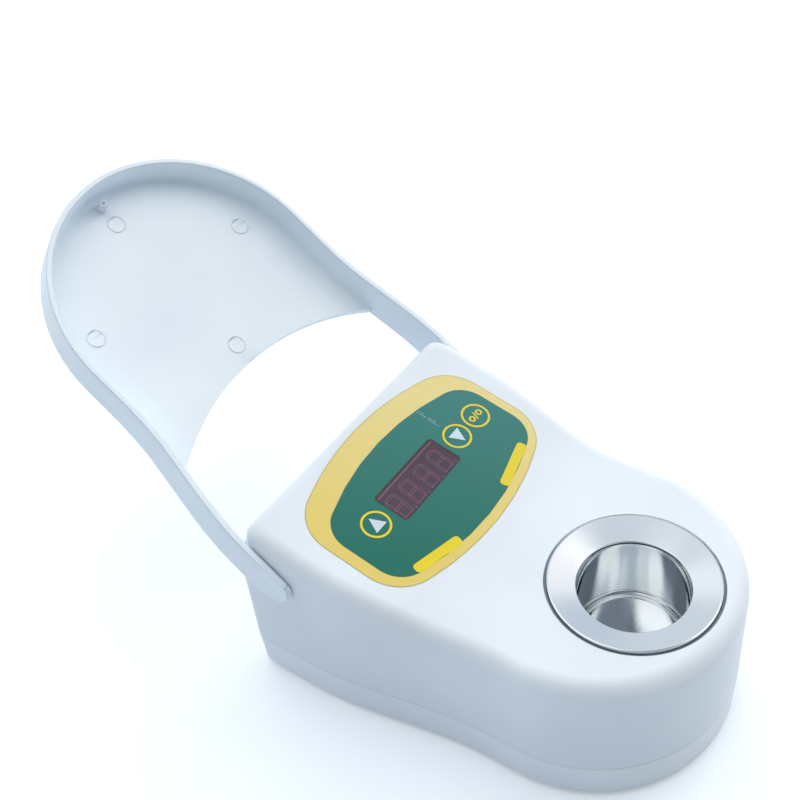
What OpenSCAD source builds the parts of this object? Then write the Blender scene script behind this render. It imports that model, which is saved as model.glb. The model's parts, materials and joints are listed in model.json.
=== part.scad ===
// Bench wax pot: a heated dipping cup in a moulded housing, with a sloping
// key panel and a lid on two arms, shown with the lid swung back.
// Millimetres, +Z up, front towards -Y, standing on Z = 0.
// Inside the modules the axis of the wax cup is at X = 0, Y = 0.

/* [Housing] */
// Radius of the round nose, seen from above
nose_r = 46.3; // [44:0.1:49]
// Distance from the cup axis back to the centre of the nose radius
nose_back = 14; // [11:0.5:17]
// Half width of the rear end
rear_half_w = 53.7; // [51:0.1:57]
// Where the sides start to widen, behind the cup axis
flare_y = 24; // [18:1:30]
// Length over which the sides widen
flare_len = 60; // [48:1:68]
// Rear wall at its foot, behind the cup axis
rear_y = 109.4; // [107:0.2:114]
// How far the top of the rear wall leans in
rear_lean = 5; // [3:0.2:6]
// Radius of the two upright rear corners
corner_r = 4.4; // [3.4:0.2:6]
// Height of the flat top round the cup
front_top_z = 53; // [51:0.5:57]
// Slope of the panel, in degrees
slope = 14.5; // [12:0.5:16]
// Where the flat top turns into the slope, behind the cup axis
crease_y = 42.2; // [40:0.2:45]
// Half length of the soft turn into the slope
crease_blend = 6; // [3:0.5:8]
// Inward lean of the side walls, in degrees
draft = 0.4; // [0.2:0.1:1]
// Rounding of the top edge along the nose and the sides
edge_r = 5.7; // [4:0.1:6.5]
// Rounding of the top edge along the rear
rear_edge_r = 4.4; // [3.6:0.2:5.2]
// Thickness of the housing wall
wall = 2.4; // [1.8:0.1:3]
// Height of the parting line between housing and base
seam_z = 15.4; // [13:0.2:18]
// Depth of the fine groove along the parting line
seam_groove = 0.3; // [0.1:0.1:0.6]

/* [Base] */
// Height of the base's underside above the bench
base_z = 2; // [1.4:0.2:3]
// Thickness of the base's floor
floor_t = 2.4; // [1.8:0.2:3]
// How far the base wall runs in towards its foot
base_taper = 0.4; // [0:0.1:1]
// Rounding of the base's bottom edge
base_edge_r = 0.8; // [0.4:0.1:1.2]
// Radius of a rubber foot
foot_r = 5; // [4:0.5:6]
// Depth of the seat that a foot is glued into
foot_seat = 0.6; // [0.4:0.1:1]

/* [Wax cup] */
// Outer radius of the turned ring round the cup
ring_r = 25.5; // [24.5:0.1:26.5]
// Radius of the hole in the ring
ring_hole_r = 16.85; // [15.5:0.1:17.5]
// How far the ring stands above the flat top
ring_proud = 0.7; // [0.4:0.1:1.5]
// How far the ring's face falls towards its hole
ring_fall = 2.7; // [1.5:0.1:3]
// Open groove between the ring and the housing
ring_gap = 0.9; // [0.5:0.1:1.2]
// Radius of the cup, inside
cup_r = 17.4; // [16:0.1:18]
// Wall of the cup
cup_wall = 0.8; // [0.6:0.1:1.2]
// Depth of the cup below the top of the ring
cup_depth = 28.5; // [24:0.5:31]
// Width of the step round the cup's floor
cup_step = 1.3; // [0.8:0.1:2]

/* [Lid] */
// Angle that the lid is swung back from closed, in degrees
lid_angle = 143.5; // [120:0.5:143.5]
// Height of the closed lid's rim
rim_z = 49.6; // [48.5:0.1:50.5]
// Depth of the lid from rim to outer face, at its nose
lid_depth = 11.9; // [11:0.1:13]
// How much deeper the lid is at its hinge
lid_swell = 2; // [0:0.1:3]
// Wall of the lid round its nose
lid_wall = 1.9; // [1.5:0.1:2.3]
// Wall of each lid arm
arm_wall = 2.3; // [1.9:0.1:2.8]
// Thickness of the lid's plate
lid_plate = 2.5; // [1.8:0.1:3]
// Rounding of the lid's outer edge
lid_edge_r = 1.6; // [1:0.1:3]
// Clearance between the lid and the housing round the nose
nose_gap = 1.1; // [0.8:0.1:2]
// Clearance between each lid arm and the widest part of the housing
arm_gap = 0.1; // [0.1:0.05:0.6]
// Where the lid's plate ends at the middle, behind the cup axis
plate_end_y = 41.2; // [38:0.2:43]
// Radius of the curved end of the plate
plate_end_r = 92; // [80:1:110]
// Length of the rounded arm tip past the hinge
tip_len = 9.1; // [8:0.1:10]
// Hinge axis, behind the cup axis
hinge_y = 94.2; // [92:0.2:96]
// Hinge axis, above the closed rim
hinge_rise = 4.5; // [4:0.1:5.5]
// Radius of the hinge pin
pin_r = 2.5; // [2:0.1:3]
// Length of the hinge pin inside the housing
pin_len = 6; // [5:0.5:8]
// Running clearance of the hinge pin, on the radius
pin_clear = 0.06; // [0.04:0.01:0.1]

/* [Panel] */
// Half width of the panel film
film_half_w = 42.2; // [41:0.1:43]
// Half height of the panel film
film_half_h = 27.5; // [26.5:0.1:28]
// Centre of the panel film, up the slope from the cup axis
film_v = 75.2; // [74.4:0.1:75.6]
// Radius of the film's long bulging sides
film_long_r = 102; // [90:1:130]
// Radius of the film's corners
film_corner_r = 15.2; // [12:0.2:17]
// Thickness of the panel film
film_t = 0.5; // [0.4:0.1:0.8]
// Depth of the recess that the film lies in
film_recess = 0.4; // [0.2:0.1:0.4]
// Line of the display, up the slope from the cup axis
row_v = 75.8; // [75:0.1:76.6]
// Width of the display window
window_w = 30.1; // [28:0.1:31]
// Height of the display window
window_h = 11.9; // [11:0.1:12.5]
// Middle of the display window, right of the centre line
window_x = -3; // [-3.6:0.1:-2.4]
// Radius of the display window's corners
window_corner_r = 1.1; // [0.5:0.1:1.5]
// Radius of a key
key_r = 5; // [4.4:0.1:5.1]
// Travel of a key
key_travel = 0.4; // [0.2:0.05:0.5]
// Gap round a key
key_gap = 0.2; // [0.15:0.05:0.3]
// Key that raises the temperature, right of the centre line
key_up_x = -25.6; // [-26:0.1:-25]
// The same key, up the slope from the cup axis
key_up_v = 76.1; // [75.8:0.1:76.4]
// Key that lowers the temperature, right of the centre line
key_down_x = 19.2; // [18.8:0.1:19.6]
// The same key, up the slope from the cup axis
key_down_v = 75.5; // [75.2:0.1:75.8]
// Key that changes the unit, right of the centre line
key_unit_x = 30.4; // [30.2:0.1:31]
// The same key, up the slope from the cup axis
key_unit_v = 75.5; // [75.2:0.1:75.8]

/* [Inside] */
// Height of the display module
module_h = 7.2; // [6.5:0.1:8]
// Thickness of both circuit boards
board_t = 1.6; // [1.2:0.1:2]
// Width of the display board
display_board_w = 78; // [76:1:82]
// Height of the display board
display_board_h = 34; // [33:1:37]
// Width of the power board
power_board_w = 70; // [68:1:74]
// Length of the power board
power_board_l = 40; // [38:1:44]
// Gap between the base's floor and the power board
power_board_lift = 5; // [4:0.5:6]
// Height of the band heater
heater_h = 15; // [12:0.5:16]
// Thickness of the band heater
heater_t = 1.4; // [1:0.1:1.8]
// Radius of the heat shield, inside
shield_r = 26; // [25:0.1:26.4]
// Wall of the heat shield
shield_wall = 0.8; // [0.5:0.1:1]

/* [Rear fittings] */
// Height of the switch and the power socket above the bench
rear_fit_z = 31; // [29:0.5:33]
// Power switch, right of the centre line
switch_x = -24; // [-27:0.5:-22]
// Width of the rocker
rocker_w = 15; // [14:0.5:17]
// Height of the rocker
rocker_h = 9.4; // [8.8:0.2:10.4]
// Angle that the rocker tips either way, in degrees
rocker_tip = 8; // [5:0.5:9]
// Power socket, right of the centre line
socket_x = 22; // [19:0.5:26]
// Radius of the power socket's body
socket_r = 5.6; // [5:0.1:6.4]
// Distance of the rocker's pivot in from the rear wall
rocker_pivot_in = 2.5; // [2.2:0.1:3]

/* [Hidden] */

// Arc quality of round parts
$fn = 72;
// Steps of the moulded outline: nose, side, corner and edge rounding
nose_steps = 20;
side_steps = 14;
corner_steps = 4;
edge_steps = 5;
// Small clearance between pieces of one body
fit = 0.05;
// A cut runs this far past the face that it opens
past = 1;
// Height of the cup ring's top face
ring_z = front_top_z + ring_proud;
// Height of the sloping plane, carried forward to the cup axis
slope_z = front_top_z - tan(slope) * crease_y;
hinge_z = rim_z + hinge_rise;
// Height of the closed lid's top at its nose
lid_top_z = rim_z + lid_depth;
// Middle of the whole object's depth with its lid open: the origin lies there
nose_y = nose_back - nose_r;
lid_nose_y = nose_y - nose_gap - lid_wall;
lid_back = 180 - lid_angle;
lid_reach = hinge_y + lid_edge_r + cos(lid_back) * (hinge_y - lid_nose_y - lid_edge_r)
          + sin(lid_back) * (lid_top_z - lid_edge_r - hinge_z);
origin_y = (nose_y + lid_reach) / 2;

// Rise of a smooth step from 0 to 1
function smooth(t) = let (u = min(max(t, 0), 1)) u * u * (3 - 2 * u);
// Half width of the housing at a distance behind the cup axis
function housing_half(y) = nose_r + (rear_half_w - nose_r) * smooth((y - flare_y) / flare_len);
// Height of the housing's top at a distance behind the cup axis
function housing_top(y) =
    let (run = min(max(y - crease_y + crease_blend, 0), 2 * crease_blend))
    front_top_z + tan(slope) * (run * run / (4 * crease_blend) + max(0, y - crease_y - crease_blend));
// The lid follows the housing's sides with a clearance that closes towards its arms
gap_blend = 20;
function lid_inner(y) =
    housing_half(y) + arm_gap + (nose_gap - arm_gap) * (1 - smooth((y - flare_y) / gap_blend));
function lid_half(y) = lid_inner(y) + lid_wall + (arm_wall - lid_wall) * smooth((y - flare_y) / gap_blend);
// The closed lid rises a little from its nose to its hinge
function lid_top(y) =
    lid_top_z + lid_swell * min(max((y - lid_nose_y) / (hinge_y - lid_nose_y), 0), 1);

// One side of a moulded outline, from the nose's middle to the rear wall
stations = concat(
    [for (i = [0:nose_steps]) ["nose", 90 * i / nose_steps]],
    [for (i = [1:side_steps]) ["side", i / side_steps]],
    [for (i = [1:corner_steps]) ["corner", 90 * i / corner_steps]]);
loop_n = 2 * len(stations) - 1;

// A form holds the nose radius, the half width, the rear wall, the corner radius, the foot height,
// the top height, the edge radius along the sides and the rear, the draft and the rear lean
housing_form = [nose_r, function (y) housing_half(y), rear_y, corner_r, seam_z,
                function (y) housing_top(y), edge_r, rear_edge_r, draft, rear_lean];
// The lid's form runs past its arm tips, which the side profile then cuts
lid_form = [nose_r + nose_gap + lid_wall, function (y) lid_half(y), rear_y + 2 * corner_r, corner_r, rim_z,
            function (y) lid_top(y), lid_edge_r, lid_edge_r, 0, 0];
lid_inner_form = [nose_r + nose_gap, function (y) lid_inner(y), rear_y + 2 * corner_r, corner_r, rim_z,
                  function (y) lid_top(y) - lid_plate, 0, 0, 0, 0];

// Plan position of a station, set in by one amount along the sides and another at the rear
function plan_point(form, st, side_in, rear_in) =
    let (end_y = form[2] - rear_in - form[3],
         run_y = nose_back + st[1] * (end_y - nose_back),
         corner_x = form[1](end_y) - side_in - form[3])
    st[0] == "nose" ? [(form[0] - side_in) * sin(st[1]), nose_back - (form[0] - side_in) * cos(st[1])]
    : st[0] == "side" ? [form[1](run_y) - side_in, run_y]
    : [corner_x + form[3] * cos(st[1]), end_y + form[3] * sin(st[1])];
// Edge radius at a station, blended round the rear corner
function edge_at(form, st) =
    st[0] == "corner" ? form[6] + (form[7] - form[6]) * pow(sin(st[1]), 2) : form[6];
// Height at which a station's wall turns into its edge rounding
function wall_end(form, st) =
    form[5](min(plan_point(form, st, 0, 0)[1], form[2] - form[9] - form[7])) - edge_at(form, st);
// Share of the wall height below which the rear wall stays upright
lean_start = 0.65;
function lean_at(form, share) = form[9] * pow(max(0, (share - lean_start) / (1 - lean_start)), 2);
// A point on the wall at a share of its height, on a skin set in by an amount
function wall_point(form, st, skin, share) =
    let (end = wall_end(form, st),
         z = form[4] + (end - form[4]) * share,
         side_in = skin + tan(form[8]) * (z - form[4]),
         p = plan_point(form, st, side_in, side_in + lean_at(form, share)))
    [p[0], p[1], z];
// A point on the edge rounding, from 0 at the wall to 90 degrees at the top
function edge_point(form, st, skin, roof, turn) =
    let (side_in = skin + tan(form[8]) * (wall_end(form, st) - form[4]),
         bend = 1 - cos(turn),
         p = plan_point(form, st, side_in + (form[6] - skin) * bend,
                        side_in + form[9] + (form[7] - skin) * bend))
    [p[0], p[1], form[5](p[1]) - roof - (edge_at(form, st) - roof) * (1 - sin(turn))];
// A point at a set height and inset, for feet, grooves and chamfers
function level_point(form, st, side_in, z) =
    let (p = plan_point(form, st, side_in, side_in))
    [p[0], p[1], z];
// A closed loop: one point on the centre line, the right side, then the left side backwards
function whole_loop(side) =
    concat(side, [for (i = [len(side) - 1:-1:1]) [-side[i][0], side[i][1], side[i][2]]]);
function level_loop(form, side_in, z) = whole_loop([for (st = stations) level_point(form, st, side_in, z)]);
// A loop that follows the form's top at a drop below it
function roof_loop(form, side_in, drop) =
    whole_loop([for (st = stations) let (p = plan_point(form, st, side_in, side_in))
                [p[0], p[1], form[5](p[1]) - drop]]);
function wall_loop(form, skin, share) = whole_loop([for (st = stations) wall_point(form, st, skin, share)]);
function edge_loop(form, skin, roof, turn) =
    whole_loop([for (st = stations) edge_point(form, st, skin, roof, turn)]);

// Faces of a band between loop k and the next, of a cap on loop k and of the rim between two loops
function turned(face, flip) = flip ? [face[0], face[2], face[1]] : face;
function band_faces(k, flip) =
    [for (j = [0:loop_n - 1])
        let (a = k * loop_n + j, b = k * loop_n + (j + 1) % loop_n)
        each [turned([a, a + loop_n, b + loop_n], flip), turned([a, b + loop_n, b], flip)]];
function cap_faces(k, flip) =
    let (o = k * loop_n)
    concat([turned([o, o + loop_n - 1, o + 1], flip)],
           [for (i = [1:len(stations) - 2])
               let (right = o + i, left = o + loop_n - i)
               each [turned([left, left - 1, right + 1], flip), turned([left, right + 1, right], flip)]]);
function rim_faces(k_out, k_in, flip) =
    [for (j = [0:loop_n - 1])
        let (a = k_out * loop_n + j,
             b = k_out * loop_n + (j + 1) % loop_n,
             c = k_in * loop_n + (j + 1) % loop_n,
             d = k_in * loop_n + j)
        each [turned([a, b, c], flip), turned([a, c, d], flip)]];
// An open tray: outer loops from the rim to the closed face, then inner loops the same way
module open_tray(outer, inner, flip) {
    polyhedron(
        points = [for (loop = concat(outer, inner)) each loop],
        faces = concat(
            [for (k = [0:1:len(outer) - 2]) each band_faces(k, flip)],
            cap_faces(len(outer) - 1, flip),
            [for (k = [len(outer):1:len(outer) + len(inner) - 2]) each band_faces(k, !flip)],
            cap_faces(len(outer) + len(inner) - 1, !flip),
            rim_faces(0, len(outer), flip)));
}

// Outline of a film with bulging sides and round corners, as arcs that meet in line
function arc(centre, r, from, to, steps) =
    [for (i = [0:steps]) let (a = from + (to - from) * i / steps) centre + r * [cos(a), sin(a)]];
function film_outline(half_w, half_h, long_r, corner) =
    let (cx = half_w - corner,
         long_y = half_h - long_r,
         cy = long_y + sqrt(pow(long_r - corner, 2) - cx * cx),
         turn = atan2(cy - long_y, cx),
         quarter = concat(arc([cx, cy], corner, 0, turn, 8), arc([0, long_y], long_r, turn, 90, 6)),
         half = concat(quarter, [for (i = [len(quarter) - 2:-1:0]) [-quarter[i][0], quarter[i][1]]]))
    concat(half, [for (i = [len(half) - 1:-1:0]) [half[i][0], -half[i][1]]]);

// A round tube along a curve with four control points
function curve_at(c, t) = pow(1 - t, 3) * c[0] + 3 * pow(1 - t, 2) * t * c[1]
                        + 3 * (1 - t) * t * t * c[2] + pow(t, 3) * c[3];
function unit(v) = v / norm(v);
lead_steps = 10;
lead_sides = 6;
module lead(c, r) {
    rings = [for (i = [0:lead_steps])
        let (t = i / lead_steps,
             ahead = unit(i == 0 ? c[1] - c[0] : i == lead_steps ? c[3] - c[2]
                          : curve_at(c, t + 0.01) - curve_at(c, t - 0.01)),
             side = unit(cross(ahead, [1, 0.02, 0.01])),
             up = cross(side, ahead))
        [for (j = [0:lead_sides - 1])
            curve_at(c, t) + r * (side * cos(360 * j / lead_sides) + up * sin(360 * j / lead_sides))]];
    polyhedron(
        points = [for (loop = rings) each loop],
        faces = concat(
            [for (i = [0:lead_steps - 1]) each [for (j = [0:lead_sides - 1])
                let (a = i * lead_sides + j, b = i * lead_sides + (j + 1) % lead_sides)
                each [[a, b, b + lead_sides], [a, b + lead_sides, a + lead_sides]]]],
            [[for (j = [lead_sides - 1:-1:0]) j]],
            [[for (j = [0:lead_sides - 1]) lead_steps * lead_sides + j]]));
}

// Everything is drawn from the cup axis and then set over the origin
module placed() {
    translate([0, -origin_y, 0]) children();
}
// The panel's own frame: X across, Y up the slope and Z out of the housing
module on_panel(x = 0, v = 0, out = 0) {
    translate([0, 0, slope_z]) rotate([slope, 0, 0]) translate([x, v, out]) children();
}
// The lid's closed position carried to its open one
module swung_open() {
    translate([0, hinge_y, hinge_z]) rotate([-lid_angle, 0, 0])
        translate([0, -hinge_y, -hinge_z]) children();
}
module both_sides() {
    children();
    mirror([1, 0, 0]) children();
}

// Places of the screws, feet and posts
case_screw_r = 1.5;
case_boss_r = 4;
case_spots = [[35.5, 16], [42, 88]];
case_boss_top = seam_z + 20;
case_screw_bite = 11;
foot_spots = [[24, -8], [32, 98]];
ring_screw_r = 1.5;
ring_screw_at = 23.4;
ring_screw_turns = [30, 150, 270];
board_post_r = 2.8;
board_screw_r = 1;
board_head_r = 2.2;
board_head_h = 1.4;
display_screw_bite = 3.6;
power_screw_bite = 4.5;
display_post_hole = 4.5;
power_post_hole = 5;
display_posts = [[34, 13], [-34, 13], [34, -13], [-34, -13]];
power_board_y = 66;
power_posts = [[30, 16], [-30, 16], [30, -16], [-30, -16]];
power_board_z = base_z + floor_t + power_board_lift;
power_board_top = power_board_z + board_t;

// The well that the cup ring sits in
well_r = ring_r + ring_gap;
well_wall = 1.6;
well_depth = 7;
ledge_t = 2;
ledge_r = 20.4;
ledge_z = front_top_z - well_depth;
gasket_t = 1;
ring_foot_z = ledge_z + gasket_t;
// The cup hangs by its flange under the ring's thin lip
lip_t = 0.4;
cup_flange_r = 20.6;
cup_flange_top = ring_z - ring_fall - lip_t;
cup_floor_z = ring_z - cup_depth;
cup_out_r = cup_r + cup_wall;

// Depth below the sloping surface of the pieces behind the panel
module_top = -film_recess - fit;
board_top = module_top - module_h;
board_bottom = board_top - board_t;
key_up_spot = [key_up_x, key_up_v];
key_down_spot = [key_down_x, key_down_v];
key_unit_spot = [key_unit_x, key_unit_v];
key_spots = [key_up_spot, key_down_spot, key_unit_spot];
switch_size = 6;
switch_h = 3.5;
switch_top = board_top + switch_h;
plunger_r = 1.7;
plunger_out = 1.1;
plunger_in = 0.8;
plunger_clear = 0.15;
stem_r = 1.5;
stem_clear = 0.4;
key_floor_gap = 0.2;
stem_bottom = switch_top + plunger_out + fit;
module_w = window_w + 0.1;
module_d = 14;
opening_clear = 0.2;

// Rear fittings
frame_lip = 1.6;
frame_t = 1.8;
frame_wall = 1.3;
frame_depth = 13;
rocker_gap = 0.35;
rocker_pin_r = 1.2;
rocker_pin_in = 0.7;
rocker_edge = 0.8;
rocker_back = 1.5;
rocker_front = 5.5;
rocker_dip = 1.2;
frame_out_w = rocker_w + 2 * (rocker_gap + frame_wall);
frame_out_h = rocker_h + 2 * (rocker_gap + frame_wall);
lip_w = frame_out_w + 2 * frame_lip;
lip_h = frame_out_h + 2 * frame_lip;
rear_fit_y = rear_y - tan(draft) * (rear_fit_z - seam_z);
rocker_axis_y = rear_fit_y - rocker_pivot_in;
socket_hole_r = 3.2;
socket_pin_r = 1;
socket_depth = 11;
socket_lip = 1.4;
socket_flange = 1.6;
socket_floor = 1.6;

module film_shape(grow) {
    polygon(film_outline(film_half_w + grow, film_half_h + grow, film_long_r + grow, film_corner_r + grow));
}
module window_shape(grow) {
    r = window_corner_r + grow;
    w = window_w + 2 * grow;
    h = window_h + 2 * grow;
    square([w - 2 * r, h], center = true);
    square([w, h - 2 * r], center = true);
    for (x = [-1, 1], y = [-1, 1])
        translate([x * (w / 2 - r), y * (h / 2 - r)]) circle(r = r);
}

module top_housing() {
    color("whitesmoke") placed() difference() {
        union() {
            open_tray(
                concat([level_loop(housing_form, seam_groove, seam_z),
                        level_loop(housing_form, 0, seam_z + seam_groove)],
                       [for (share = [lean_start, 0.77, 0.89, 1]) wall_loop(housing_form, 0, share)],
                       [for (i = [1:edge_steps]) edge_loop(housing_form, 0, 0, 90 * i / edge_steps)]),
                concat([level_loop(housing_form, wall, seam_z)],
                       [for (share = [lean_start, 0.83, 1]) wall_loop(housing_form, wall, share)],
                       [for (turn = [45, 90]) edge_loop(housing_form, wall, wall, turn)]),
                false);
            // Well and ledge for the cup ring
            translate([0, 0, ledge_z - ledge_t]) difference() {
                cylinder(r = well_r + well_wall, h = well_depth + ledge_t - wall / 2);
                translate([0, 0, -past]) cylinder(r = ledge_r, h = ledge_t + 2 * past);
                translate([0, 0, ledge_t]) cylinder(r = well_r, h = well_depth);
            }
            // Hinge bosses inside the side walls
            both_sides() translate([rear_half_w - wall / 2 - pin_len, hinge_y, hinge_z]) rotate([0, 90, 0])
                cylinder(r = pin_r + 2.5, h = pin_len - 0.4);
            // Screw bosses with a web to the side wall
            both_sides() for (spot = case_spots) {
                translate([spot[0], spot[1], seam_z]) cylinder(r = case_boss_r, h = case_boss_top - seam_z);
                translate([spot[0], spot[1] - 1, seam_z])
                    cube([housing_half(spot[1]) - wall / 2 - spot[0], 2, case_boss_top - seam_z - 2]);
            }
            // Posts for the display board
            for (post = display_posts)
                on_panel(post[0], row_v + post[1], board_top)
                    cylinder(r = board_post_r, h = -board_top - wall / 2);
        }
        translate([0, 0, ledge_z]) cylinder(r = well_r, h = well_depth + past + 2);
        for (turn = ring_screw_turns)
            rotate([0, 0, turn]) translate([ring_screw_at, 0, ledge_z - ledge_t - past])
                cylinder(r = ring_screw_r + fit, h = ledge_t + 2 * past);
        both_sides() translate([rear_half_w - wall - pin_len - past, hinge_y, hinge_z]) rotate([0, 90, 0])
            cylinder(r = pin_r + pin_clear, h = pin_len + wall + 3 * past);
        both_sides() for (spot = case_spots)
            translate([spot[0], spot[1], seam_z - past])
                cylinder(r = case_screw_r, h = case_screw_bite + 2 * past);
        on_panel(0, film_v, -film_recess) linear_extrude(film_recess + past) film_shape(fit);
        on_panel(window_x, row_v, -wall - 2 * past) linear_extrude(wall + 3 * past)
            square([module_w + 2 * opening_clear, module_d + 2 * opening_clear], center = true);
        for (spot = key_spots) {
            on_panel(spot[0], spot[1], -wall - past) cylinder(r = stem_r + stem_clear, h = wall + 2 * past);
            on_panel(spot[0], spot[1], -film_recess - key_travel - key_floor_gap)
                cylinder(r = key_r + key_gap, h = key_travel + film_recess + key_floor_gap + past);
        }
        for (post = display_posts)
            on_panel(post[0], row_v + post[1], board_top - past)
                cylinder(r = board_screw_r, h = display_post_hole + past);
        // Flat seats and openings for the switch and the power socket
        translate([switch_x, rear_fit_y + wall, rear_fit_z])
            cube([lip_w + 2 * fit, 2 * wall, lip_h + 2 * fit], center = true);
        translate([socket_x, rear_fit_y, rear_fit_z]) rotate([-90, 0, 0])
            cylinder(r = socket_r + socket_flange + fit, h = wall);
        translate([switch_x, rear_y, rear_fit_z])
            cube([frame_out_w + 2 * fit, 6 * wall, frame_out_h + 2 * fit], center = true);
        translate([socket_x, rear_y - 3 * wall, rear_fit_z]) rotate([-90, 0, 0])
            cylinder(r = socket_r + fit, h = 6 * wall);
    }
}

module base_tray() {
    color("white") placed() difference() {
        union() {
            open_tray(
                [level_loop(housing_form, seam_groove, seam_z),
                 level_loop(housing_form, 0, seam_z - seam_groove),
                 level_loop(housing_form, base_taper, base_z + base_edge_r),
                 level_loop(housing_form, base_taper + base_edge_r * 0.3, base_z + base_edge_r * 0.3),
                 level_loop(housing_form, base_taper + base_edge_r, base_z)],
                [level_loop(housing_form, wall, seam_z),
                 level_loop(housing_form, wall + base_taper, base_z + floor_t)],
                true);
            both_sides() for (spot = case_spots)
                translate([spot[0], spot[1], base_z + floor_t - 1])
                    cylinder(r = case_boss_r + 1, h = seam_z - base_z - floor_t + 1);
            for (post = power_posts)
                translate([post[0], power_board_y + post[1], base_z + floor_t - 1])
                    cylinder(r = board_post_r, h = power_board_lift + 1);
            // Post that holds the probe up against the cup
            translate([0, 0, base_z + floor_t - 1])
                cylinder(r = probe_r + 1.4, h = probe_seat_z - base_z - floor_t + 1 + probe_grip);
        }
        translate([0, 0, probe_seat_z]) cylinder(r = probe_r + fit, h = probe_h);
        both_sides() for (spot = case_spots) {
            translate([spot[0], spot[1], base_z - past]) cylinder(r = case_screw_r + 0.2, h = seam_z);
            translate([spot[0], spot[1], base_z - past])
                cylinder(r = screw_head_r + 0.3, h = head_seat + past);
        }
        both_sides() for (spot = foot_spots)
            translate([spot[0], spot[1], base_z - past]) cylinder(r = foot_r + fit, h = foot_seat + past);
        for (post = power_posts)
            translate([post[0], power_board_y + post[1], power_board_z - power_post_hole])
                cylinder(r = board_screw_r, h = power_post_hole + past);
    }
}

screw_head_r = 2.9;
screw_head_h = 2;
head_seat = 6;
module screw_up(r, len, head_r, head_h) {
    cylinder(r = head_r, h = head_h);
    cylinder(r = r, h = len);
}
module case_screws() {
    color("silver") placed() both_sides() for (spot = case_spots)
        translate([spot[0], spot[1], base_z + head_seat - screw_head_h])
            screw_up(case_screw_r, seam_z + case_screw_bite - base_z - head_seat + screw_head_h,
                     screw_head_r, screw_head_h);
}

module rubber_feet() {
    color("dimgray") placed() both_sides() for (spot = foot_spots)
        translate([spot[0], spot[1], 0]) cylinder(r = foot_r, h = base_z + foot_seat);
}

// Small rounding of the lid's rim and the hollow rounding under its plate
rim_round = 0.35;
lid_cove_r = 1.4;
// Side view of the lid with its rounded arm tips, as Y and Z
tip_run = 16;
tip_y = hinge_y + tip_len;
tip_rise = lid_top(tip_y - tip_run) - hinge_z;
foot_run = 5.3;
side_view = concat(
    [[lid_nose_y - past, rim_z - past], [lid_nose_y - past, lid_top(tip_y) + past],
     [tip_y - tip_run, lid_top(tip_y) + past]],
    [for (i = [0:9]) let (a = 10 * i) [tip_y - tip_run + tip_run * sin(a), hinge_z + tip_rise * cos(a)]],
    [for (i = [0:5]) let (a = 90 + 18 * i)
        [tip_y - foot_run + foot_run * sin(a), hinge_z + hinge_rise * cos(a)]],
    [[tip_y - foot_run, rim_z - past]]);
boss_y = -29;
boss_r = 1.7;
boss_h = 3.5;
mark_r = 3.2;
mark_w = 0.5;
mark_h = 0.15;
mark_spots = [[35, 3.6], [-35, 3.6], [0, -22], [0, 34]];

module lid() {
    color("aliceblue") placed() swung_open() {
        difference() {
            intersection() {
                open_tray(
                    concat([level_loop(lid_form, rim_round, rim_z),
                            level_loop(lid_form, 0, rim_z + rim_round)],
                           [for (i = [0:4]) edge_loop(lid_form, 0, 0, 90 * i / 4)]),
                    concat([level_loop(lid_inner_form, -rim_round, rim_z),
                            level_loop(lid_inner_form, 0, rim_z + rim_round)],
                           [for (a = [0, 30, 60, 90])
                               roof_loop(lid_inner_form, lid_cove_r * (1 - cos(a)),
                                         lid_cove_r * (1 - sin(a)))]),
                    false);
                translate([-rear_half_w - 2 * arm_wall, 0, 0]) rotate([90, 0, 90])
                    linear_extrude(2 * (rear_half_w + 2 * arm_wall)) polygon(side_view);
            }
            plate_cut();
        }
        both_sides() translate([rear_half_w - wall / 2 - pin_len, hinge_y, hinge_z]) rotate([0, 90, 0])
            cylinder(r = pin_r, h = lid_half(hinge_y) - arm_wall / 2 - rear_half_w + wall / 2 + pin_len);
        // Boss and ejector rings on the inner face
        translate([0, boss_y, lid_top(boss_y) - lid_plate - boss_h]) difference() {
            cylinder(r = boss_r, h = boss_h + 0.5);
            translate([0, 0, -past]) cylinder(r = boss_r / 2, h = boss_h + past);
        }
        for (spot = mark_spots)
            translate([spot[0], spot[1], lid_top(spot[1]) - lid_plate - mark_h]) difference() {
                cylinder(r = mark_r, h = mark_h + 0.5);
                translate([0, 0, -past]) cylinder(r = mark_r - mark_w, h = mark_h + past);
            }
    }
}
// The plate ends in a hollow curve, and only the two arms run on
module plate_cut() {
    start = plate_end_y - past;
    end = tip_y + tip_run;
    side = [for (i = [0:20]) let (y = start + (end - start) * i / 20) [lid_inner(y), y]];
    translate([0, 0, rim_z - past]) linear_extrude(lid_depth + lid_swell + 2 * past) intersection() {
        polygon(concat(side, [for (i = [len(side) - 1:-1:0]) [-side[i][0], side[i][1]]]));
        translate([0, plate_end_y + plate_end_r]) circle(r = plate_end_r, $fn = 180);
    }
}

module pot_ring() {
    chamfer = 0.35;
    color("gainsboro") placed() difference() {
        rotate_extrude() polygon([
            [cup_flange_r + fit, ring_foot_z], [ring_r, ring_foot_z], [ring_r, ring_z - chamfer],
            [ring_r - chamfer, ring_z], [ring_hole_r + 0.15, ring_z - ring_fall],
            [ring_hole_r, ring_z - ring_fall - 0.15], [ring_hole_r, cup_flange_top],
            [cup_flange_r + fit, cup_flange_top]]);
        for (turn = ring_screw_turns)
            rotate([0, 0, turn]) translate([ring_screw_at, 0, ring_foot_z - past])
                cylinder(r = ring_screw_r, h = 4 + past);
    }
}

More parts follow.
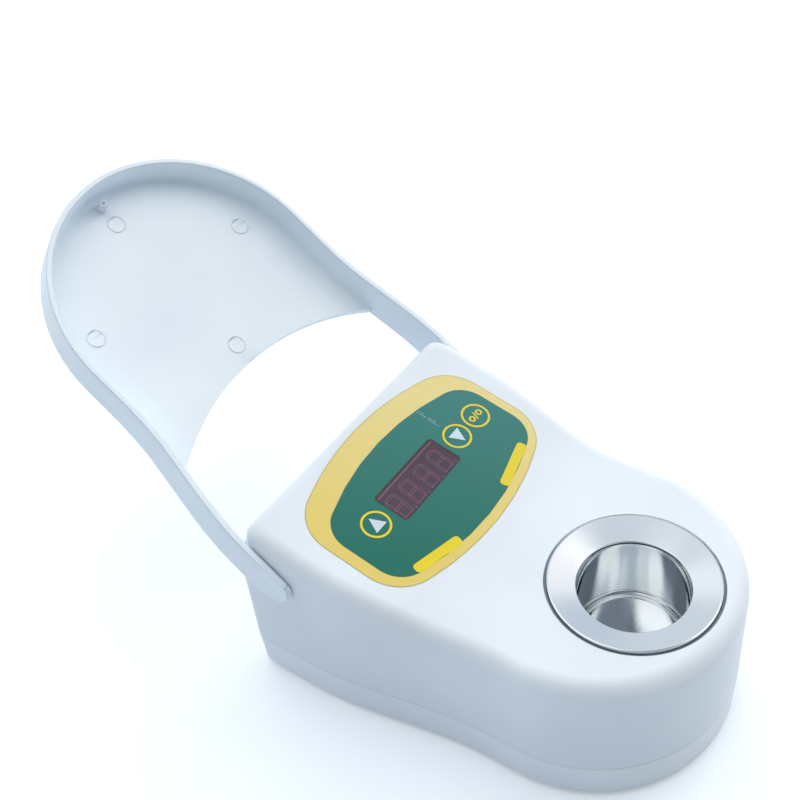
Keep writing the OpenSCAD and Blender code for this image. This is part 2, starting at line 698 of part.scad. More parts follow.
// Silicone ring: a flat part under the turned ring and a raised part under the cup's flange
module ring_gasket() {
    color("darkslategray") placed() difference() {
        rotate_extrude() polygon([
            [cup_out_r + 0.3, ledge_z], [well_r - 0.3, ledge_z], [well_r - 0.3, ring_foot_z],
            [cup_flange_r, ring_foot_z], [cup_flange_r, cup_flange_top - cup_wall],
            [cup_out_r + 0.3, cup_flange_top - cup_wall]]);
        for (turn = ring_screw_turns)
            rotate([0, 0, turn]) translate([ring_screw_at, 0, ledge_z - past])
                cylinder(r = ring_screw_r + fit, h = gasket_t + 2 * past);
    }
}

module ring_screws() {
    color("silver") placed() for (turn = ring_screw_turns)
        rotate([0, 0, turn]) translate([ring_screw_at, 0, ledge_z - ledge_t - screw_head_h])
            screw_up(ring_screw_r, screw_head_h + ledge_t + gasket_t + 3.5, 2.4, screw_head_h);
}

// Drawn cup with a flange and a stepped floor
module wax_cup() {
    step_z = cup_floor_z + 1.6;
    color("lightgray") placed() rotate_extrude() polygon([
        [0, cup_floor_z - cup_wall], [cup_r - cup_step, cup_floor_z - cup_wall],
        [cup_r - cup_step + cup_wall, cup_floor_z - 0.1], [cup_r - cup_step + cup_wall, step_z - cup_wall],
        [cup_out_r - 0.5, step_z - cup_wall], [cup_out_r, step_z - cup_wall + 0.5],
        [cup_out_r, cup_flange_top - cup_wall], [cup_flange_r, cup_flange_top - cup_wall],
        [cup_flange_r, cup_flange_top], [cup_r + 0.4, cup_flange_top], [cup_r, cup_flange_top - 0.4],
        [cup_r, step_z + 0.5], [cup_r - 0.5, step_z], [cup_r - cup_step + 0.2, step_z],
        [cup_r - cup_step, step_z - 0.3], [cup_r - cup_step, cup_floor_z + 0.5],
        [cup_r - cup_step - 0.5, cup_floor_z], [0, cup_floor_z]]);
}

heater_z = cup_floor_z + 2.4;
heater_r = cup_out_r + fit;
heater_out_r = heater_r + heater_t;
lug_x = 1.5;
lug_t = 1.2;
lug_out = 4.4;
module band_heater() {
    color("goldenrod") placed() translate([0, 0, heater_z]) difference() {
        union() {
            cylinder(r = heater_out_r, h = heater_h);
            for (x = [-lug_x - lug_t, lug_x])
                translate([x, heater_r + heater_t / 2, 2])
                    cube([lug_t, heater_t / 2 + lug_out, heater_h - 4]);
        }
        translate([0, 0, -past]) cylinder(r = heater_r, h = heater_h + 2 * past);
        translate([-lug_x, 0, -past]) cube([2 * lug_x, heater_out_r + past, heater_h + 2 * past]);
        translate([-past - lug_x - lug_t, heater_out_r + lug_out / 2, heater_h / 2]) rotate([0, 90, 0])
            cylinder(r = 1.1, h = 2 * (lug_x + lug_t + past));
    }
}
module heater_clamp_bolt() {
    reach = lug_x + lug_t;
    color("silver") placed() translate([0, heater_out_r + lug_out / 2, heater_z + heater_h / 2])
        rotate([0, 90, 0]) {
            translate([0, 0, -reach - 2]) cylinder(r = 1, h = 2 * reach + 4);
            translate([0, 0, -reach - 1.8]) cylinder(r = 2, h = 1.8);
            translate([0, 0, reach]) cylinder(r = 2.1, h = 1.6, $fn = 6);
        }
}
fuse_r = 1.6;
module thermal_fuse() {
    color("beige") placed() rotate([0, 0, -140]) translate([heater_out_r + fuse_r + fit, 0, heater_z + 2])
        cylinder(r = fuse_r, h = 10);
}
// Opening in the heat shield for the leads
notch_w = 16;
notch_h = 19;
module heat_shield() {
    color("silver") placed() difference() {
        translate([0, 0, base_z + floor_t])
            cylinder(r = shield_r + shield_wall, h = ledge_z - ledge_t - base_z - floor_t);
        translate([0, 0, base_z]) cylinder(r = shield_r, h = ledge_z);
        translate([-notch_w / 2, shield_r - notch_w / 2, base_z])
            cube([notch_w, notch_w, floor_t + notch_h]);
    }
}
probe_r = 2.6;
probe_h = 7;
probe_grip = 3;
probe_seat_z = cup_floor_z - cup_wall - probe_h;
module temperature_probe() {
    color("silver") placed() translate([0, 0, probe_seat_z]) cylinder(r = probe_r, h = probe_h);
}

module panel_film() {
    color("khaki") placed() difference() {
        on_panel(0, film_v, -film_recess) linear_extrude(film_t) film_shape(0);
        on_panel(window_x, row_v, -film_recess - past) linear_extrude(film_t + 2 * past) window_shape(fit);
        for (spot = key_spots)
            on_panel(spot[0], spot[1], -film_recess - past)
                cylinder(r = key_r + key_gap, h = film_t + 2 * past);
    }
}
module display_window() {
    color("purple") placed() on_panel(window_x, row_v, -film_recess)
        linear_extrude(film_t - 0.1) window_shape(0);
}
module display_module() {
    color("darkslategray") placed() on_panel(window_x, row_v, board_top) linear_extrude(module_h)
        square([module_w, module_d], center = true);
}
module display_board() {
    color("darkgreen") placed() on_panel(0, row_v, board_bottom) difference() {
        linear_extrude(board_t) square([display_board_w, display_board_h], center = true);
        for (post = display_posts)
            translate([post[0], post[1], -past]) cylinder(r = board_screw_r + fit, h = board_t + 2 * past);
    }
}
module display_board_screws() {
    color("silver") placed() for (post = display_posts)
        on_panel(post[0], row_v + post[1], board_bottom - board_head_h)
            screw_up(board_screw_r, board_t + board_head_h + display_screw_bite, board_head_r, board_head_h);
}
module controller_chip() {
    color("black") placed() on_panel(8, row_v, board_bottom - 1.5) linear_extrude(1.5)
        square([12, 8], center = true);
}

// A printed key with the stem that reaches its switch
module key(spot) {
    color("seagreen") placed() on_panel(spot[0], spot[1], 0) {
        translate([0, 0, -film_recess]) cylinder(r = key_r, h = film_t);
        translate([0, 0, stem_bottom]) cylinder(r = stem_r, h = -film_recess - stem_bottom + film_t / 2);
    }
}
module plunger(spot) {
    color("black") placed() on_panel(spot[0], spot[1], switch_top - plunger_in)
        cylinder(r = plunger_r, h = plunger_in + plunger_out);
}
module key_up() { key(key_up_spot); }
module key_down() { key(key_down_spot); }
module key_unit() { key(key_unit_spot); }
module key_up_plunger() { plunger(key_up_spot); }
module key_down_plunger() { plunger(key_down_spot); }
module key_unit_plunger() { plunger(key_unit_spot); }
module key_switches() {
    well = plunger_in + key_travel + fit;
    color("silver") placed() for (spot = key_spots)
        on_panel(spot[0], spot[1], board_top) difference() {
            linear_extrude(switch_h) square(switch_size, center = true);
            translate([0, 0, switch_h - well]) cylinder(r = plunger_r + plunger_clear, h = well + past);
        }
}

module power_board() {
    color("darkgreen") placed() translate([0, power_board_y, power_board_z]) difference() {
        linear_extrude(board_t) square([power_board_w, power_board_l], center = true);
        for (post = power_posts)
            translate([post[0], post[1], -past]) cylinder(r = board_screw_r + fit, h = board_t + 2 * past);
    }
}
module power_board_screws() {
    color("silver") placed() for (post = power_posts)
        translate([post[0], power_board_y + post[1], power_board_top + board_head_h]) mirror([0, 0, 1])
            screw_up(board_screw_r, board_t + board_head_h + power_screw_bite, board_head_r, board_head_h);
}
// Four-way terminal block with its wire entries and screws
terminal_pitch = 5;
terminal_ways = 4;
terminal_d = 8;
terminal_h = 10;
terminal_entry = 3;
terminal_y = power_board_y - 17;
terminal_z = power_board_top + terminal_entry;
module terminal_block() {
    w = terminal_pitch * terminal_ways;
    color("seagreen") placed() translate([-w / 2, terminal_y, power_board_top]) difference() {
        cube([w, terminal_d, terminal_h]);
        for (i = [0:terminal_ways - 1]) {
            x = terminal_pitch * (i + 0.5);
            translate([x, -past, terminal_entry]) rotate([-90, 0, 0]) cylinder(r = 1.4, h = 4 + past);
            translate([x, terminal_d / 2, terminal_h - 4]) cylinder(r = 1.6, h = 4 + past);
        }
    }
}
// Comb-shaped heat sink and the transistor clamped to its back
sink_x = 16;
sink_fins = 5;
sink_pitch = 3;
sink_w = 14;
sink_back = 2;
sink_d = 9;
sink_h = 20;
module heat_sink() {
    color("gray") placed() translate([sink_x, power_board_y, power_board_top]) {
        cube([sink_w, sink_back, sink_h]);
        for (i = [0:sink_fins - 1]) translate([sink_pitch * i, 0, 0]) cube([1.6, sink_d, sink_h]);
    }
}
module power_transistor() {
    color("black") placed() translate([sink_x + 2, power_board_y - 4.4, power_board_top]) {
        translate([0, 0, 4]) cube([10, 4.4, 10]);
        translate([0, 3.2, 13]) cube([10, 1.2, 6]);
        for (i = [0:2]) translate([1.6 + 2.6 * i, 1.6, 0]) cube([1.2, 0.8, 5]);
    }
}
cap_r = 5;
cap_h = 14;
cap_spots = [[-28, 4], [-15, 4]];
module capacitors() {
    color("navy") placed() for (spot = cap_spots)
        translate([spot[0], power_board_y + spot[1], power_board_top]) cylinder(r = cap_r, h = cap_h);
}
// Flat cable from the power board up to the display board
cable_w = 12;
cable_t = 0.9;
cable_v = row_v - display_board_h / 2 + 4;
cable_y = cable_v * cos(slope) - board_bottom * sin(slope);
cable_top = slope_z + cable_v * sin(slope) + board_bottom * cos(slope);
module ribbon_cable() {
    y = [cable_y, cable_y, power_board_y - 6, power_board_y - 6];
    z = [cable_top + 0.2, cable_top - 8, power_board_top + 9, power_board_top];
    color("lightgray") placed() difference() {
        translate([-cable_w / 2, 0, 0]) rotate([90, 0, 90]) linear_extrude(cable_w) polygon(concat(
            [for (i = [0:3]) [y[i], z[i]]], [for (i = [3:-1:0]) [y[i] + cable_t, z[i]]]));
        on_panel(0, row_v, board_bottom) linear_extrude(board_t + past)
            square([display_board_w, display_board_h], center = true);
    }
}

// Leads: from the terminals to the heater, the probe and the rear fittings. A run is the straight
// stretch in front of a terminal or fitting, and a turn is where the lead bends towards its end.
lead_r = 0.9;
lead_grip = 2;
heater_lead_x = terminal_pitch / 2;
heater_lead_run = 12;
heater_lead_spread = 1;
heater_turn_out = 2;
heater_turn_z = 6;
module heater_leads() {
    color("white") placed() for (side = [-1, 1]) {
        x = side * heater_lead_x;
        end_x = x + side * heater_lead_spread;
        lead([[x, terminal_y + lead_grip, terminal_z], [x, terminal_y - heater_lead_run, terminal_z],
              [end_x, heater_r + heater_turn_out, heater_turn_z],
              [end_x, heater_r + heater_t / 2, heater_z - fit]], lead_r);
    }
}
probe_lead_x = 1.5 * terminal_pitch;
probe_lead_run = 20;
probe_turn = [6, 14];
probe_lead_z = probe_seat_z + 5.2;
module probe_leads() {
    color("white") placed() for (side = [-1, 1])
        lead([[side * probe_lead_x, terminal_y + lead_grip, terminal_z],
              [side * probe_lead_x, terminal_y - probe_lead_run, terminal_z],
              [side * probe_turn[0], probe_turn[1], probe_lead_z],
              [side * (probe_r + lead_r + fit), 0, probe_lead_z]], lead_r);
}
switch_lead_run = 28;
socket_lead_run = 26;
fitting_clear = 0.2;
power_turn = [34, 14];
power_lead_end = 17;
module power_leads() {
    fittings = [[switch_x, frame_depth, switch_lead_run], [socket_x, socket_depth, socket_lead_run]];
    color("firebrick") placed() for (fitting = fittings) {
        x = fitting[0];
        lead([[x, rear_fit_y - fitting[1] - fitting_clear, rear_fit_z],
              [x, rear_fit_y - fitting[2], rear_fit_z],
              [x, power_board_y + power_turn[0], power_turn[1]],
              [x, power_board_y + power_lead_end, power_board_top + lead_r]], lead_r);
    }
}

module power_socket() {
    color("black") placed() translate([socket_x, rear_fit_y, rear_fit_z]) rotate([-90, 0, 0]) difference() {
        union() {
            translate([0, 0, -socket_depth]) cylinder(r = socket_r, h = socket_depth);
            cylinder(r = socket_r + socket_flange, h = socket_lip);
        }
        difference() {
            translate([0, 0, -socket_depth + socket_floor])
                cylinder(r = socket_hole_r, h = socket_depth + socket_lip);
            translate([0, 0, -socket_depth]) cylinder(r = socket_pin_r, h = socket_depth);
        }
    }
}
module socket_nut() {
    color("silver") placed() translate([socket_x, rear_fit_y - wall - 0.3, rear_fit_z]) rotate([90, 0, 0])
        difference() {
            cylinder(r = socket_r + 2.4, h = 2, $fn = 6);
            translate([0, 0, -past]) cylinder(r = socket_r + fit, h = 2 + 2 * past);
        }
}

module switch_frame() {
    color("black") placed() translate([switch_x, rear_fit_y, rear_fit_z]) difference() {
        union() {
            translate([0, frame_t / 2, 0]) cube([lip_w, frame_t, lip_h], center = true);
            translate([0, (frame_t - frame_depth) / 2, 0])
                cube([frame_out_w, frame_depth + frame_t, frame_out_h], center = true);
        }
        translate([0, frame_t - frame_depth / 2, 0])
            cube([rocker_w + 2 * rocker_gap, frame_depth, rocker_h + 2 * rocker_gap], center = true);
        // Bores for the rocker's pivot pins
        translate([0, -rocker_pivot_in, 0])
            cylinder(r = rocker_pin_r + fit, h = rocker_h + 2 * (rocker_gap + rocker_pin_in + fit),
                     center = true);
    }
}
// The rocker turns on two short pins and is hollowed towards its middle
module switch_rocker() {
    w = rocker_w / 2 - rocker_edge;
    color("black") placed() translate([switch_x, rocker_axis_y, rear_fit_z]) rotate([0, 0, rocker_tip]) {
        linear_extrude(rocker_h, center = true) polygon([
            [-w, -rocker_back], [w, -rocker_back], [w, rocker_front], [0, rocker_front - rocker_dip],
            [-w, rocker_front]]);
        cylinder(r = rocker_pin_r, h = rocker_h + 2 * (rocker_gap + rocker_pin_in), center = true);
    }
}

top_housing();
base_tray();
rubber_feet();
case_screws();
lid();
pot_ring();
ring_gasket();
ring_screws();
wax_cup();
band_heater();
heater_clamp_bolt();
thermal_fuse();
heat_shield();
temperature_probe();
panel_film();
display_window();
display_module();
display_board();
display_board_screws();
controller_chip();
key_up();
key_down();
key_unit();
key_up_plunger();
key_down_plunger();
key_unit_plunger();
key_switches();
power_board();
power_board_screws();
terminal_block();
power_transistor();
heat_sink();
capacitors();
ribbon_cable();
heater_leads();
probe_leads();
power_leads();
power_socket();
socket_nut();
switch_frame();
switch_rocker();
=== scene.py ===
# %% [markdown]
# # A bench wax pot
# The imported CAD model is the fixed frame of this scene. This lesson dresses it: smooth shells for the
# moulded housing and lid, a turned ring and a drawn cup, a printed panel with keys and a display, the
# fittings at the rear, and the feet and screws below. Lengths of pieces are in millimetres and a piece
# is brought to metres and to its place before it becomes an object. Materials, lamps and the camera
# work in metres.

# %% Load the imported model
import json
from math import asin, cos, pi, radians, sin, tan

import bmesh
import bpy
from mathutils import Matrix, Vector


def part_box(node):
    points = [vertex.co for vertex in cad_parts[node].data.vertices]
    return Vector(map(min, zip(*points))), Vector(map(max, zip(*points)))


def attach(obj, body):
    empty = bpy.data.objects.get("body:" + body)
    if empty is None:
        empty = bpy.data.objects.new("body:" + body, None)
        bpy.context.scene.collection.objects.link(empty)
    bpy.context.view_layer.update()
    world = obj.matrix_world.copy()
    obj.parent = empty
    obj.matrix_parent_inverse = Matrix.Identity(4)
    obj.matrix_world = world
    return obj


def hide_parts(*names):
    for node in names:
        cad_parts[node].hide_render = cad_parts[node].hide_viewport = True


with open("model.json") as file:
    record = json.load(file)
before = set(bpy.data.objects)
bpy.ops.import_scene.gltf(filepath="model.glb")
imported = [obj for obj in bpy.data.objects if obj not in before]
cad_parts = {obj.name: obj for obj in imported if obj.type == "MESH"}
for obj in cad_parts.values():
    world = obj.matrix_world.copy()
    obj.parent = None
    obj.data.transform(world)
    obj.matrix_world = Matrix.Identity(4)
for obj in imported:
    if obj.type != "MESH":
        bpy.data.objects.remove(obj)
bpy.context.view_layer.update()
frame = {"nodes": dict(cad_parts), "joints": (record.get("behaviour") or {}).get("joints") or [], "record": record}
MM = 0.001
cad = frame["nodes"]
body_of = {node: body for body, members in frame["record"]["behaviour"]["bodies"].items() for node in members}
slot_of = {part["node"]: part["material_slot"] for part in frame["record"]["subparts"]}

# %% [markdown]
# ## Camera
# The view looks down on the pot from its front left corner with a short telephoto lens. The camera's
# place is given from the axis of the wax cup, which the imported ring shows, so it follows the model.
# A Track To constraint could aim it, but would keep it level, and this view leans a little. So its three
# axes are built from azimuth, elevation and a small roll, as a photographer would set them.

# %% Camera
ring_low, ring_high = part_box("pot_ring")
cup_axis = Vector(((ring_low.x + ring_high.x) / 2, (ring_low.y + ring_high.y) / 2, 0))
azimuth, elevation, roll = radians(-50.63), radians(41.81), radians(-6.98)
camera_from_cup = Vector((-0.20730, -0.09071, 0.32933))
back = Vector((sin(azimuth) * cos(elevation), -cos(azimuth) * cos(elevation), sin(elevation)))
right = Vector((cos(azimuth), sin(azimuth), 0))
up = back.cross(right)
axes = Matrix((right * cos(roll) + up * sin(roll), up * cos(roll) - right * sin(roll), back)).transposed()
camera_data = bpy.data.cameras.new("camera")
camera_data.sensor_width = 36
camera_data.lens = 53.42
camera_data.clip_start = 0.01
camera = bpy.data.objects.new("camera", camera_data)
bpy.context.collection.objects.link(camera)
camera.matrix_world = Matrix.Translation(cup_axis + camera_from_cup) @ axes.to_4x4()
bpy.context.scene.camera = camera
bpy.context.scene.view_settings.view_transform = "Standard"
print("camera at", [round(v, 3) for v in camera.location])

# %% [markdown]
# ## Small helpers for materials
# A material here is a node tree. `add` makes one node, sets its options and fills its inputs: a value
# that is a socket is wired, anything else is set. `srgb` lets a colour be written as it looks on a
# screen, from 0 to 255, and turns it into the linear light that the shader works with.

# %% Node helpers
def srgb(*colour):
    return tuple((c / 255 / 12.92) if c <= 10 else ((c / 255 + 0.055) / 1.055) ** 2.4 for c in colour)


def add(tree, kind, fill=(), **options):
    made = tree.nodes.new("ShaderNode" + kind)
    for key, value in options.items():
        setattr(made, key, value)
    for key, value in dict(fill).items():
        if isinstance(value, bpy.types.NodeSocket):
            tree.links.new(value, made.inputs[key])
        else:
            made.inputs[key].default_value = value
    return made


def calc(tree, operation, *values):
    return add(tree, "Math", enumerate(values), operation=operation).outputs[0]


NOISE_RANGE = (0.3, 0.7)  # most values of a noise texture lie in here


def between(tree, value, low, high, to_low=0.0, to_high=1.0):
    fill = {"Value": value, "From Min": low, "From Max": high, "To Min": to_low, "To Max": to_high}
    return add(tree, "MapRange", fill).outputs["Result"]


def blend_colours(tree, factor, first, second):
    made = add(tree, "Mix", {0: factor}, data_type="RGBA")
    for slot, colour in ((6, first), (7, second)):
        if isinstance(colour, bpy.types.NodeSocket):
            tree.links.new(colour, made.inputs[slot])
        else:
            made.inputs[slot].default_value = (*colour, 1)
    return made.outputs[2]


def start_group(name, inputs, outputs):
    tree = bpy.data.node_groups.new(name, "ShaderNodeTree")
    for word, kind in inputs:
        tree.interface.new_socket(word, in_out="INPUT", socket_type="NodeSocket" + kind)
    for word in outputs:
        tree.interface.new_socket(word, in_out="OUTPUT", socket_type="NodeSocketFloat")
    return tree, tree.nodes.new("NodeGroupInput").outputs, tree.nodes.new("NodeGroupOutput").inputs


def use_group(tree, group, **fill):
    made = tree.nodes.new("ShaderNodeGroup")
    made.node_tree = group
    for key, value in fill.items():
        socket = made.inputs[key]
        if isinstance(value, bpy.types.NodeSocket):
            tree.links.new(value, socket)
        else:
            socket.default_value = value
    return made.outputs


print("helpers ready")

# %% [markdown]
# ## Effects that several finishes share
# Moulded plastic is never a flat colour: the tool's texture gives it a fine grain, its tone drifts a
# little over a few centimetres, and it picks up a few dark specks. Turned metal carries fine rings round
# its axis, and bare metal of any kind is smudged by handling. All this could be painted on images, but
# noise from nodes needs no unwrapping and stays sharp close up. Each effect is one node group, built
# once, that puts out plain values. Scales count how many features fit in a metre.

# %% Moulded grain
drift_scale, speck_cells, speck_reach, cells_without = 22.0, 55.0, 0.016, 0.86
grain, come, go = start_group("moulded grain", (("Vector", "Vector"), ("Grain", "Float")),
                              ("Height", "Drift", "Speck"))
fine = add(grain, "TexNoise", {"Vector": come["Vector"], "Scale": come["Grain"], "Detail": 3.0})
slow = add(grain, "TexNoise", {"Vector": come["Vector"], "Scale": drift_scale, "Detail": 2.0})
cells = add(grain, "TexVoronoi", {"Vector": come["Vector"], "Scale": speck_cells})
near = calc(grain, "LESS_THAN", cells.outputs["Distance"], speck_reach)
lot = add(grain, "SeparateColor", {"Color": cells.outputs["Color"]}).outputs[0]
rare = calc(grain, "GREATER_THAN", lot, cells_without)
grain.links.new(fine.outputs[0], go["Height"])
grain.links.new(slow.outputs[0], go["Drift"])
grain.links.new(calc(grain, "MULTIPLY", near, rare), go["Speck"])
print("group", grain.name)

# %% Turned rings
height_share, broad_scale = 0.61, 700.0
turned, come, go = start_group("turned rings", (("Vector", "Vector"), ("Pitch", "Float")), ("Height", "Shade"))
parts = add(turned, "SeparateXYZ", {0: come["Vector"]}).outputs
radius = calc(turned, "SQRT", calc(turned, "ADD", calc(turned, "MULTIPLY", parts[0], parts[0]),
                                   calc(turned, "MULTIPLY", parts[1], parts[1])))
along = calc(turned, "ADD", radius, calc(turned, "MULTIPLY", parts[2], height_share))
steps = calc(turned, "DIVIDE", along, come["Pitch"])
rings = add(turned, "TexNoise", {"W": steps, "Scale": 1.0, "Detail": 2.0}, noise_dimensions="1D")
wide_steps = calc(turned, "MULTIPLY", along, broad_scale)
broad = add(turned, "TexNoise", {"W": wide_steps, "Scale": 1.0, "Detail": 1.0}, noise_dimensions="1D")
turned.links.new(rings.outputs[0], go["Height"])
turned.links.new(broad.outputs[0], go["Shade"])
print("group", turned.name)

# %% Smudges
smear_scale = 90.0
smudges, come, go = start_group("smudges", (("Vector", "Vector"),), ("Smudge",))
smear = add(smudges, "TexNoise", {"Vector": come["Vector"], "Scale": smear_scale, "Detail": 4.0})
smudges.links.new(smear.outputs[0], go["Smudge"])
print("group", smudges.name)

# %% [markdown]
# ## Finishes
# A finish is a Principled shader with the shared effects wired to its colour, roughness and bump. A value
# that stays the same all over, such as Metallic or the specular level, is set on the shader itself, so
# that it survives the export. Plastics differ by colour, grain and gloss only, so one function makes
# them all.

# %% Plastic and rubber finishes
def begin(name, colour, roughness, **sockets):
    made = bpy.data.materials.new(name)
    made.use_nodes = True
    shader = made.node_tree.nodes["Principled BSDF"]
    shader.inputs["Base Color"].default_value = (*colour, 1)
    shader.inputs["Roughness"].default_value = roughness
    for key, value in sockets.items():
        shader.inputs[key.replace("_", " ")].default_value = value
    return made, made.node_tree, shader


def object_vector(tree, centre=None):
    place = add(tree, "TexCoord").outputs["Object"]
    return add(tree, "Mapping", {"Vector": place, "Location": centre}).outputs[0] if centre else place


def bump(tree, shader, height, strength, distance):
    made = add(tree, "Bump", {"Height": height, "Strength": strength, "Distance": distance})
    tree.links.new(made.outputs[0], shader.inputs["Normal"])


GRAIN_HEIGHT, GLOSS_DRIFT = 0.0001, 0.08


def plastic(name, colour, roughness, grain_size=2600.0, depth=0.12, drift=0.04, speck=None):
    made, tree, shader = begin(name, colour, roughness)
    out = use_group(tree, grain, Vector=object_vector(tree), Grain=grain_size)
    darker = tuple(c * (1 - drift) for c in colour)
    lighter = tuple(min(1, c * (1 + drift)) for c in colour)
    base = blend_colours(tree, between(tree, out["Drift"], *NOISE_RANGE), darker, lighter)
    if speck:
        base = blend_colours(tree, out["Speck"], base, speck)
    tree.links.new(base, shader.inputs["Base Color"])
    rough = between(tree, out["Drift"], *NOISE_RANGE, roughness * (1 - GLOSS_DRIFT), roughness * (1 + GLOSS_DRIFT))
    tree.links.new(rough, shader.inputs["Roughness"])
    bump(tree, shader, out["Height"], depth, GRAIN_HEIGHT)
    return made


finish = {
    "housing": plastic("satin white plastic", srgb(229, 236, 242), 0.42, speck=srgb(96, 100, 104)),
    # The base is the housing's plastic made lighter, as painted bounce light from the floor.
    "base": plastic("satin white plastic, painted lighter base", srgb(238, 243, 248), 0.44, speck=srgb(96, 100, 104)),
    "lid": plastic("satin pale blue plastic", srgb(237, 246, 255), 0.4, speck=srgb(120, 126, 132)),
    "feet": plastic("black rubber", srgb(38, 38, 39), 0.85, 1400.0, 0.4, 0.12),
    "gasket": plastic("dark silicone", srgb(116, 128, 140), 0.6, 1800.0, 0.2, 0.1),
    "fuse": plastic("woven sleeve", srgb(222, 212, 190), 0.8, 1500.0, 0.5, 0.08),
    "black_plastic": plastic("black plastic", srgb(34, 34, 36), 0.5, 2000.0, 0.25, 0.12),
    "board": plastic("circuit board", srgb(26, 92, 56), 0.45, 900.0, 0.1, 0.1),
    "terminal": plastic("green block plastic", srgb(52, 132, 78), 0.5, 1800.0, 0.2, 0.08),
    "capacitor": plastic("capacitor sleeve", srgb(36, 46, 96), 0.35, 1500.0, 0.05, 0.1),
    "cable": plastic("grey cable", srgb(176, 176, 174), 0.6, 1200.0, 0.2, 0.06),
    "lead_white": plastic("white silicone lead", srgb(222, 222, 216), 0.6, 1600.0, 0.2, 0.05),
    "lead_red": plastic("red silicone lead", srgb(166, 30, 24), 0.6, 1600.0, 0.2, 0.08),
    # This dark grey is used as painted shadow at the cup's mouth.
    "residue": plastic("painted gap shadow", srgb(44, 48, 54), 0.6, 1500.0, 0.3, 0.1),
    "rocker": plastic("satin black plastic", srgb(40, 40, 42), 0.38, 2200.0, 0.15, 0.1),
}
print(len(finish), "plastics and rubbers")

# %% [markdown]
# ## Metals
# The ring is turned from aluminium, and the cup is drawn and left bright, with a floor grained like a
# casting, which glitters a little. A lathe leaves rings about one axis. Cut into the mesh they would
# outweigh the rest of the pot, so they are bump, and those two finishes are centred on the cup. The tone
# of the bare metal is carried by its base colour, and a slight rise in roughness follows the smudges.
# The cup's wall is a shade darker close to its floor.

# %% Metal finishes
SMUDGED_TONE, TURNED_TONE = 0.93, 0.985
SMUDGE_HEIGHT, TURNED_HEIGHT = 0.00005, 0.00002
cast_scale, cast_height, cast_rough = 2600.0, 20.0, 0.01
low_wall_tone, low_wall_from, low_wall_to = 0.86, 0.003, 0.016


def metal(name, colour, roughness, centre=None, pitch=0.0001, depth=0.1, worn=0.08, floor_z=0.0):
    made, tree, shader = begin(name, colour, roughness, Metallic=1.0)
    place = object_vector(tree, centre)
    smudge = use_group(tree, smudges, Vector=place)["Smudge"]
    rough = between(tree, smudge, *NOISE_RANGE, roughness * (1 - worn), roughness * (1 + worn))
    tone = between(tree, smudge, *NOISE_RANGE, SMUDGED_TONE)
    height, size = smudge, SMUDGE_HEIGHT
    if centre:
        lathe = use_group(tree, turned, Vector=place, Pitch=pitch)
        tone = between(tree, lathe["Shade"], *NOISE_RANGE, TURNED_TONE)
        height, size = lathe["Height"], TURNED_HEIGHT
    if floor_z:
        above = add(tree, "SeparateXYZ", {0: place}).outputs[2]
        on_floor = calc(tree, "LESS_THAN", above, floor_z)
        rough = calc(tree, "ADD", rough, calc(tree, "MULTIPLY", on_floor, cast_rough))
        # The wall is darker over a band just above the floor.
        wall = between(tree, above, floor_z + low_wall_from, floor_z + low_wall_to, low_wall_tone)
        tone = calc(tree, "MAXIMUM", on_floor, wall)
        cast = add(tree, "TexNoise", {"Vector": place, "Scale": cast_scale, "Detail": 2.0}).outputs[0]
        cast = calc(tree, "MULTIPLY", calc(tree, "MULTIPLY", cast, on_floor), cast_height)
        height = calc(tree, "ADD", height, cast)
    bump(tree, shader, height, depth, size)
    tree.links.new(blend_colours(tree, tone, (0, 0, 0), colour), shader.inputs["Base Color"])
    tree.links.new(rough, shader.inputs["Roughness"])
    return made


from_axis = tuple(-cup_axis)
finish.update({
    "ring": metal("turned aluminium", (0.87, 0.88, 0.89), 0.2, from_axis, pitch=0.00012, depth=0.004, worn=0.04),
    "cup": metal("drawn aluminium", (0.84, 0.86, 0.87), 0.07, from_axis, pitch=0.0004, worn=0.05, floor_z=0.0262),
    "screws": metal("zinc plating", (0.62, 0.63, 0.64), 0.32),
    "heater": metal("brass band", (0.72, 0.55, 0.28), 0.4),
    "shield": metal("bright sheet", (0.78, 0.78, 0.80), 0.3),
    "probe": metal("steel probe", (0.65, 0.65, 0.66), 0.3),
    "switch_can": metal("pressed steel", (0.62, 0.62, 0.62), 0.35),
    "sink": metal("extruded aluminium", (0.55, 0.55, 0.57), 0.42),
})
print(len(finish), "finishes so far")

# %% [markdown]
# ## Inks
# The panel is printed film. Ink is flat, but its colour is faintly mottled, and each print blends from
# its own colour to a second one across the panel, which is a painted sheen for the film's gloss.
# The mottle only darkens, because ink that lies thin lets the film's shade through.

# %% Printed film and window finishes
# The way, start and end of the painted sheen across the panel.
sheen_way, sheen_from, sheen_to = (1.0, 0.6, 0.0), -0.045, 0.03
ink_grain, ink_gloss_drift, ink_depth = 1500.0, 0.15, 0.06
fine_share, slow_share, mottle_range = 0.7, 0.3, (0.35, 0.65)


